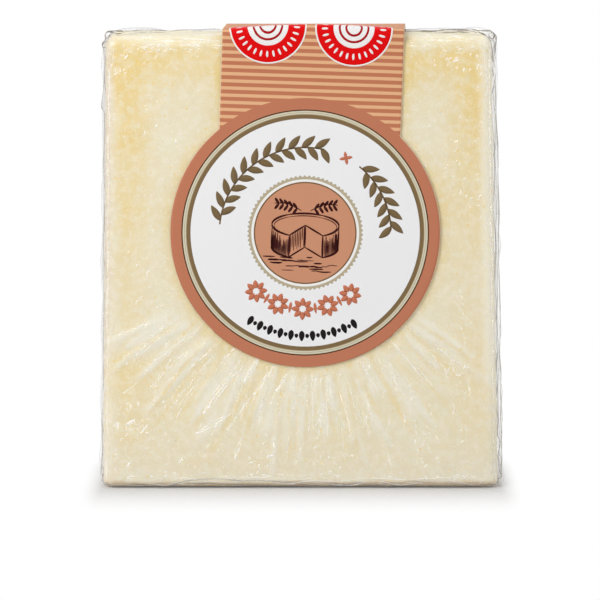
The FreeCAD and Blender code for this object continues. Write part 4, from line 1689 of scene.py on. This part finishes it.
def cheese_wheel(random):
    """The wheel's outline, its cut wedge and the hatching of its rind and of the cut."""
    lines = []
    top, radii, drop = (0.0, 1.6), (7.6, 2.7), 5.0
    rim_middle, rim_radii = (0.0, 1.35), (7.1, 2.4)
    wedge = (-118, -58)
    edge_pen, foot_pen, cut_pen, inner_pen, fine_pen = 0.2, 0.22, 0.18, 0.16, 0.09
    for arc in ((-58, 0), (0, 60), (60, 120), (120, 180), (180, 242)):
        lines.append(arc_stroke(top, radii, arc, edge_pen))
        lines.append(arc_stroke(rim_middle, rim_radii, arc, fine_pen))
    for arc in ((-180, -118), (-58, 0)):
        lines.append(arc_stroke((top[0], top[1] - drop), radii, arc, foot_pen))
    cuts = [top[0] + radii[0] * math.cos(math.radians(angle)) for angle in wedge]
    falls = [top[1] + radii[1] * math.sin(math.radians(angle)) for angle in wedge]
    for cut_x, cut_z in zip(cuts, falls):
        lines.append(stroke([top, (cut_x, cut_z)], cut_pen))
        lines.append(stroke([(cut_x, cut_z), (cut_x, cut_z - drop)], edge_pen))
        lines.append(stroke([(0, top[1] - drop), (cut_x, cut_z - drop)], inner_pen))
    lines.append(stroke([top, (0, top[1] - drop)], cut_pen))
    for angle in np.concatenate([np.arange(-178, -119, 3.0), np.arange(-57, -1, 3.0)]):
        turn = math.radians(angle)
        edge_x = top[0] + radii[0] * math.cos(turn)
        low = top[1] + radii[1] * math.sin(turn) - drop
        length = drop * random.uniform(0.45, 0.98)
        lines.append(stroke([(edge_x, low), (edge_x, low + length)], random.uniform(0.07, 0.13)))
    for number in range(9):
        share = (number + 0.7) / 9.5
        start = (cuts[0] * share, top[1] + (falls[0] - top[1]) * share)
        end = (start[0], start[1] - drop * random.uniform(0.6, 0.98))
        lines.append(stroke([start, end], fine_pen))
    return lines


def ground(random, count=26):
    """A strip of ground: short level strokes that narrow downwards."""
    lines = []
    for _ in range(count):
        z = random.uniform(-9.0, -5.6)
        x = random.uniform(-8.5, 8.0) * (1 - 0.06 * abs(z + 6))
        half = random.uniform(0.6, 1.9)
        points = [(x - half, z), (x, z + random.uniform(-0.15, 0.15)), (x + half, z)]
        lines.append(stroke(points, random.uniform(0.07, 0.17)))
    return lines


def small_sprigs(pairs=5):
    """Two bent twigs above the wheel, each with pairs of leaves."""
    lines = []
    stem_pen, leaf_pen, leaf_across, leaf_up = 0.13, 0.27, 0.9, 1.25
    for side in (-1, 1):
        stem = [(side * 1.0, 4.9), (side * 4.2, 6.6), (side * 7.2, 6.4)]
        lines.append(stroke(stem, stem_pen))
        for number in range(pairs):
            share = (number + 1) / (pairs + 1)
            base_x = side * (1.0 + 6.2 * share)
            base_z = 4.9 + 3.0 * share - 1.5 * share ** 2
            for way in (-1, 1):
                leaf_tip = (base_x + side * leaf_across, base_z + way * leaf_up)
                lines.append(stroke([(base_x, base_z), leaf_tip], leaf_pen, 9))
    return lines


def engraving():
    """A cheese wheel with a wedge cut out, hatched, on a strip of ground under two sprigs."""
    random = np.random.default_rng(91)
    lines = cheese_wheel(random) + ground(random) + small_sprigs()
    enlarge, thicken, lift = 1.14, 1.35, (0.0, 0.2)
    return [(enlarge * middle + lift, thicken * half) for middle, half in lines]


def ribbons_of_equal_length(lines, count=11):
    """Strokes with any number of points, evened out to the same number."""
    share = np.linspace(0, 1, count)
    middles = [even_out(share, middle) for middle, _ in lines]
    halves = [np.interp(share, np.linspace(0, 1, len(half)), half) for _, half in lines]
    return middles, halves


ribbon_piece("cheese_picture", *ribbons_of_equal_length(engraving()), dark_ink, "ink_dark")

# %% [markdown]
# ### Two round symbols on the fold
#
# Two red discs with a white border sit on the front fold, so half of each lies on the top. Each
# is a set of rings on the flat label: a ring is a polar grid, fine enough to follow the fold.
# Short white strokes run round the red disc, and two thin red rings lie in its white middle.

# %% Round symbols
symbol_middles = ((-11.36, 53.45), (10.80, 53.45))
stroke_angles = np.linspace(-164, 196, 30)[:-1]
stroke_from, stroke_to = 6.7, 8.3
thin_ring_radii = (3.7, 2.0)
print_half_width = 0.3
thin_ring_points = 91
over_disc = 0.012


def ring_piece(name, middles, inner, outer, lift, material, rings_across, around=200):
    """Thin closed rings round several points of the flat label, between two radii."""
    angle = np.linspace(0, 2 * math.pi, around + 1)
    radius = np.linspace(inner, outer, rings_across)
    points, faces = [], []
    for middle in middles:
        across = middle[0] + radius[:, None] * np.cos(angle)
        along = middle[1] + radius[:, None] * np.sin(angle)
        base = paper_thickness + paper_wave(across, along) + lift
        start = len(points) * 2 * across.size
        layers = [wrap(across, along, base + ink_height), wrap(across, along, base - ink_height)]
        points.append(np.concatenate([layer.reshape(-1, 3) for layer in layers]))
        faces += (np.array(closed_sheet_faces(*across.shape)) + start).tolist()
    piece = make_piece(name, np.concatenate(points), faces, material)
    outward(piece.data)
    return piece


ring_piece("symbol_borders", symbol_middles, inner=9.55, outer=10.0, lift=0.0,
           material=white_ink, rings_across=4)
ring_piece("symbol_discs", symbol_middles, inner=5.3, outer=9.6, lift=0.005,
           material=red_ink, rings_across=18)
ring_piece("symbol_middles", symbol_middles, inner=0.02, outer=5.35, lift=0.0,
           material=white_ink, rings_across=22)
strokes, thin_rings = [], []
for middle in symbol_middles:
    for angle in stroke_angles:
        ends = [middle + polar(radius, angle) for radius in (stroke_from, stroke_to)]
        strokes.append(stroke(ends, print_half_width))
    for radius in thin_ring_radii:
        thin_rings.append(arc_stroke(middle, (radius, radius), (90, 450), print_half_width,
                                     thin_ring_points))
ribbon_piece("symbol_strokes", *ribbons_of_equal_length(strokes), white_ink, "symbol_white",
             over_disc)
ribbon_piece("symbol_rays", *ribbons_of_equal_length(thin_rings, thin_ring_points),
             dark_red_ink, "symbol_red", over_disc)

# %% [markdown]
# ## The floor
#
# The pack stands on a pale floor. Near the pack the floor is matt and takes its soft shadow,
# which a small share of white glow lifts a little: painted light.
# Further out it fades to the plain white of the background, within a few millimetres at the
# sides and more slowly in front.

# %% Floor
fade_beside, fade_before = 6.0, 36.0
# the floor glows with at least a small share of white near the pack too: painted light that lifts
# its shadow
fade_start, least_glow_in_shadow = 0.02, 0.08
floor_grey = (219, 218, 218)


def floor_material():
    """Pale floor that keeps the shadow near the pack and fades to plain white further out."""
    nodes = new_material("pale_floor")
    matt = nodes.add("ShaderNodeBsdfDiffuse", {"Color": paint(*floor_grey)}).outputs[0]
    white = nodes.add("ShaderNodeEmission", {"Color": (1, 1, 1, 1), "Strength": 1.0}).outputs[0]
    split = nodes.add("ShaderNodeSeparateXYZ", {0: nodes.place()}).outputs
    apart = []
    for axis, half, fade in (("X", foot_width / 2, fade_beside), ("Y", half_depth, fade_before)):
        beyond = nodes.math("SUBTRACT", nodes.math("ABSOLUTE", split[axis]), half * MM)
        apart.append(nodes.math("DIVIDE", nodes.math("MAXIMUM", beyond, 0.0), fade * MM))
    far = nodes.math("SQRT", nodes.ramp(nodes.distance(*apart), fade_start, 1.0))
    share = nodes.math("MULTIPLY", nodes.math("MAXIMUM", far, least_glow_in_shadow), nodes.seen_by_eye())
    return nodes.finish(nodes.add("ShaderNodeMixShader", {0: share, 1: matt, 2: white}).outputs[0])


def make_floor(half_size=2.0, count=9):
    """A flat square grid at the height of the pack's foot, in metres."""
    line = np.linspace(-half_size, half_size, count)
    grid_x, grid_y = np.meshgrid(line, line)
    points = np.stack([grid_x, grid_y, np.zeros_like(grid_x)], axis=-1).reshape(-1, 3)
    mesh = bpy.data.meshes.new("floor")
    mesh.from_pydata(points.tolist(), [], grid_faces(count, count).tolist())
    mesh.materials.append(floor_material())
    floor = bpy.data.objects.new("floor", mesh)
    bpy.context.scene.collection.objects.link(floor)


make_floor()
print("floor fades within", fade_beside, "mm at the sides and", fade_before, "mm in front")

# %% [markdown]
# ## The light
#
# Soft studio light: a large softbox from the front left, a weaker one from the right, one from
# above and behind, and two narrow strips at the sides that draw thin highlights along the edges
# of the film. The background is white where the camera or a reflection sees it, and a softer
# light everywhere else. Angles are in degrees, lengths in metres and powers in watts.

# %% Light
world_level = 0.435
softboxes = (
    # name, azimuth, elevation, distance, (width, height), power
    ("key_softbox", -42, 34, 0.75, (0.5, 0.5), 3.25),
    ("fill_softbox", 48, 25, 1.1, (0.5, 0.7), 1.1),
    ("back_softbox", 180, 62, 0.8, (0.8, 0.5), 1.5),
    ("left_strip", -80, 8, 0.7, (0.05, 0.6), 0.3),
    ("right_strip", 80, 8, 0.7, (0.05, 0.6), 0.9),
)


def aim(thing, target):
    """Turns a lamp or a camera so that it looks at a point."""
    way = np.array(target) - np.array(thing.location)
    thing.rotation_euler = Vector(way).to_track_quat("-Z", "Y").to_euler()


def softbox(name, azimuth, elevation, distance, size, power):
    """An area lamp that looks at the middle of the pack. Azimuth 0 is straight in front."""
    lamp = bpy.data.lights.new(name, "AREA")
    lamp.shape = "RECTANGLE"
    lamp.size, lamp.size_y = size
    lamp.energy = power
    thing = bpy.data.objects.new(name, lamp)
    turn, rise = math.radians(azimuth), math.radians(elevation)
    middle = pack_height / 2 * MM
    thing.location = (distance * math.sin(turn) * math.cos(rise),
                      -distance * math.cos(turn) * math.cos(rise),
                      middle + distance * math.sin(rise))
    bpy.context.scene.collection.objects.link(thing)
    aim(thing, (0, 0, middle))


def make_world(level):
    """Even white light of that level, seen as plain white by the camera and in reflections.

    The node's sockets 3 and 4 are what it gives for 0 and for 1.
    """
    world = bpy.data.worlds.new("studio")
    nodes = Nodes(world, "ShaderNodeOutputWorld")
    inputs = {0: nodes.seen_by_eye(), 3: level, 4: 1.0}
    strength = nodes.add("ShaderNodeMapRange", inputs).outputs[0]
    inputs = {"Color": (1, 1, 1, 1), "Strength": strength}
    nodes.finish(nodes.add("ShaderNodeBackground", inputs).outputs[0])
    bpy.context.scene.world = world


for box in softboxes:
    softbox(*box)
make_world(world_level)
print(len(softboxes), "lamps and a white world")

# %% [markdown]
# ## The camera
#
# The camera stands a good metre away, a little above the middle of the pack, with a long lens,
# so upright edges stay almost upright. The standard view keeps the colours as they were given.

# %% Camera
camera_distance = 1.1
camera_elevation = math.radians(7.5)
camera_side = -0.34 * MM
camera_aim = (camera_side, 0.0, 48.0 * MM)
camera_lens, sensor_width = 251.8, 36.0
nearest = 0.05
lens = bpy.data.cameras.new("camera")
lens.lens = camera_lens
lens.sensor_width = sensor_width
lens.clip_start = nearest
camera = bpy.data.objects.new("camera", lens)
camera.location = (camera_side, -camera_distance * math.cos(camera_elevation),
                   camera_aim[2] + camera_distance * math.sin(camera_elevation))
bpy.context.scene.collection.objects.link(camera)
aim(camera, camera_aim)
bpy.context.scene.camera = camera
bpy.context.scene.view_settings.view_transform = "Standard"
print("camera", camera_distance, "m away, with a lens of", camera_lens, "mm")
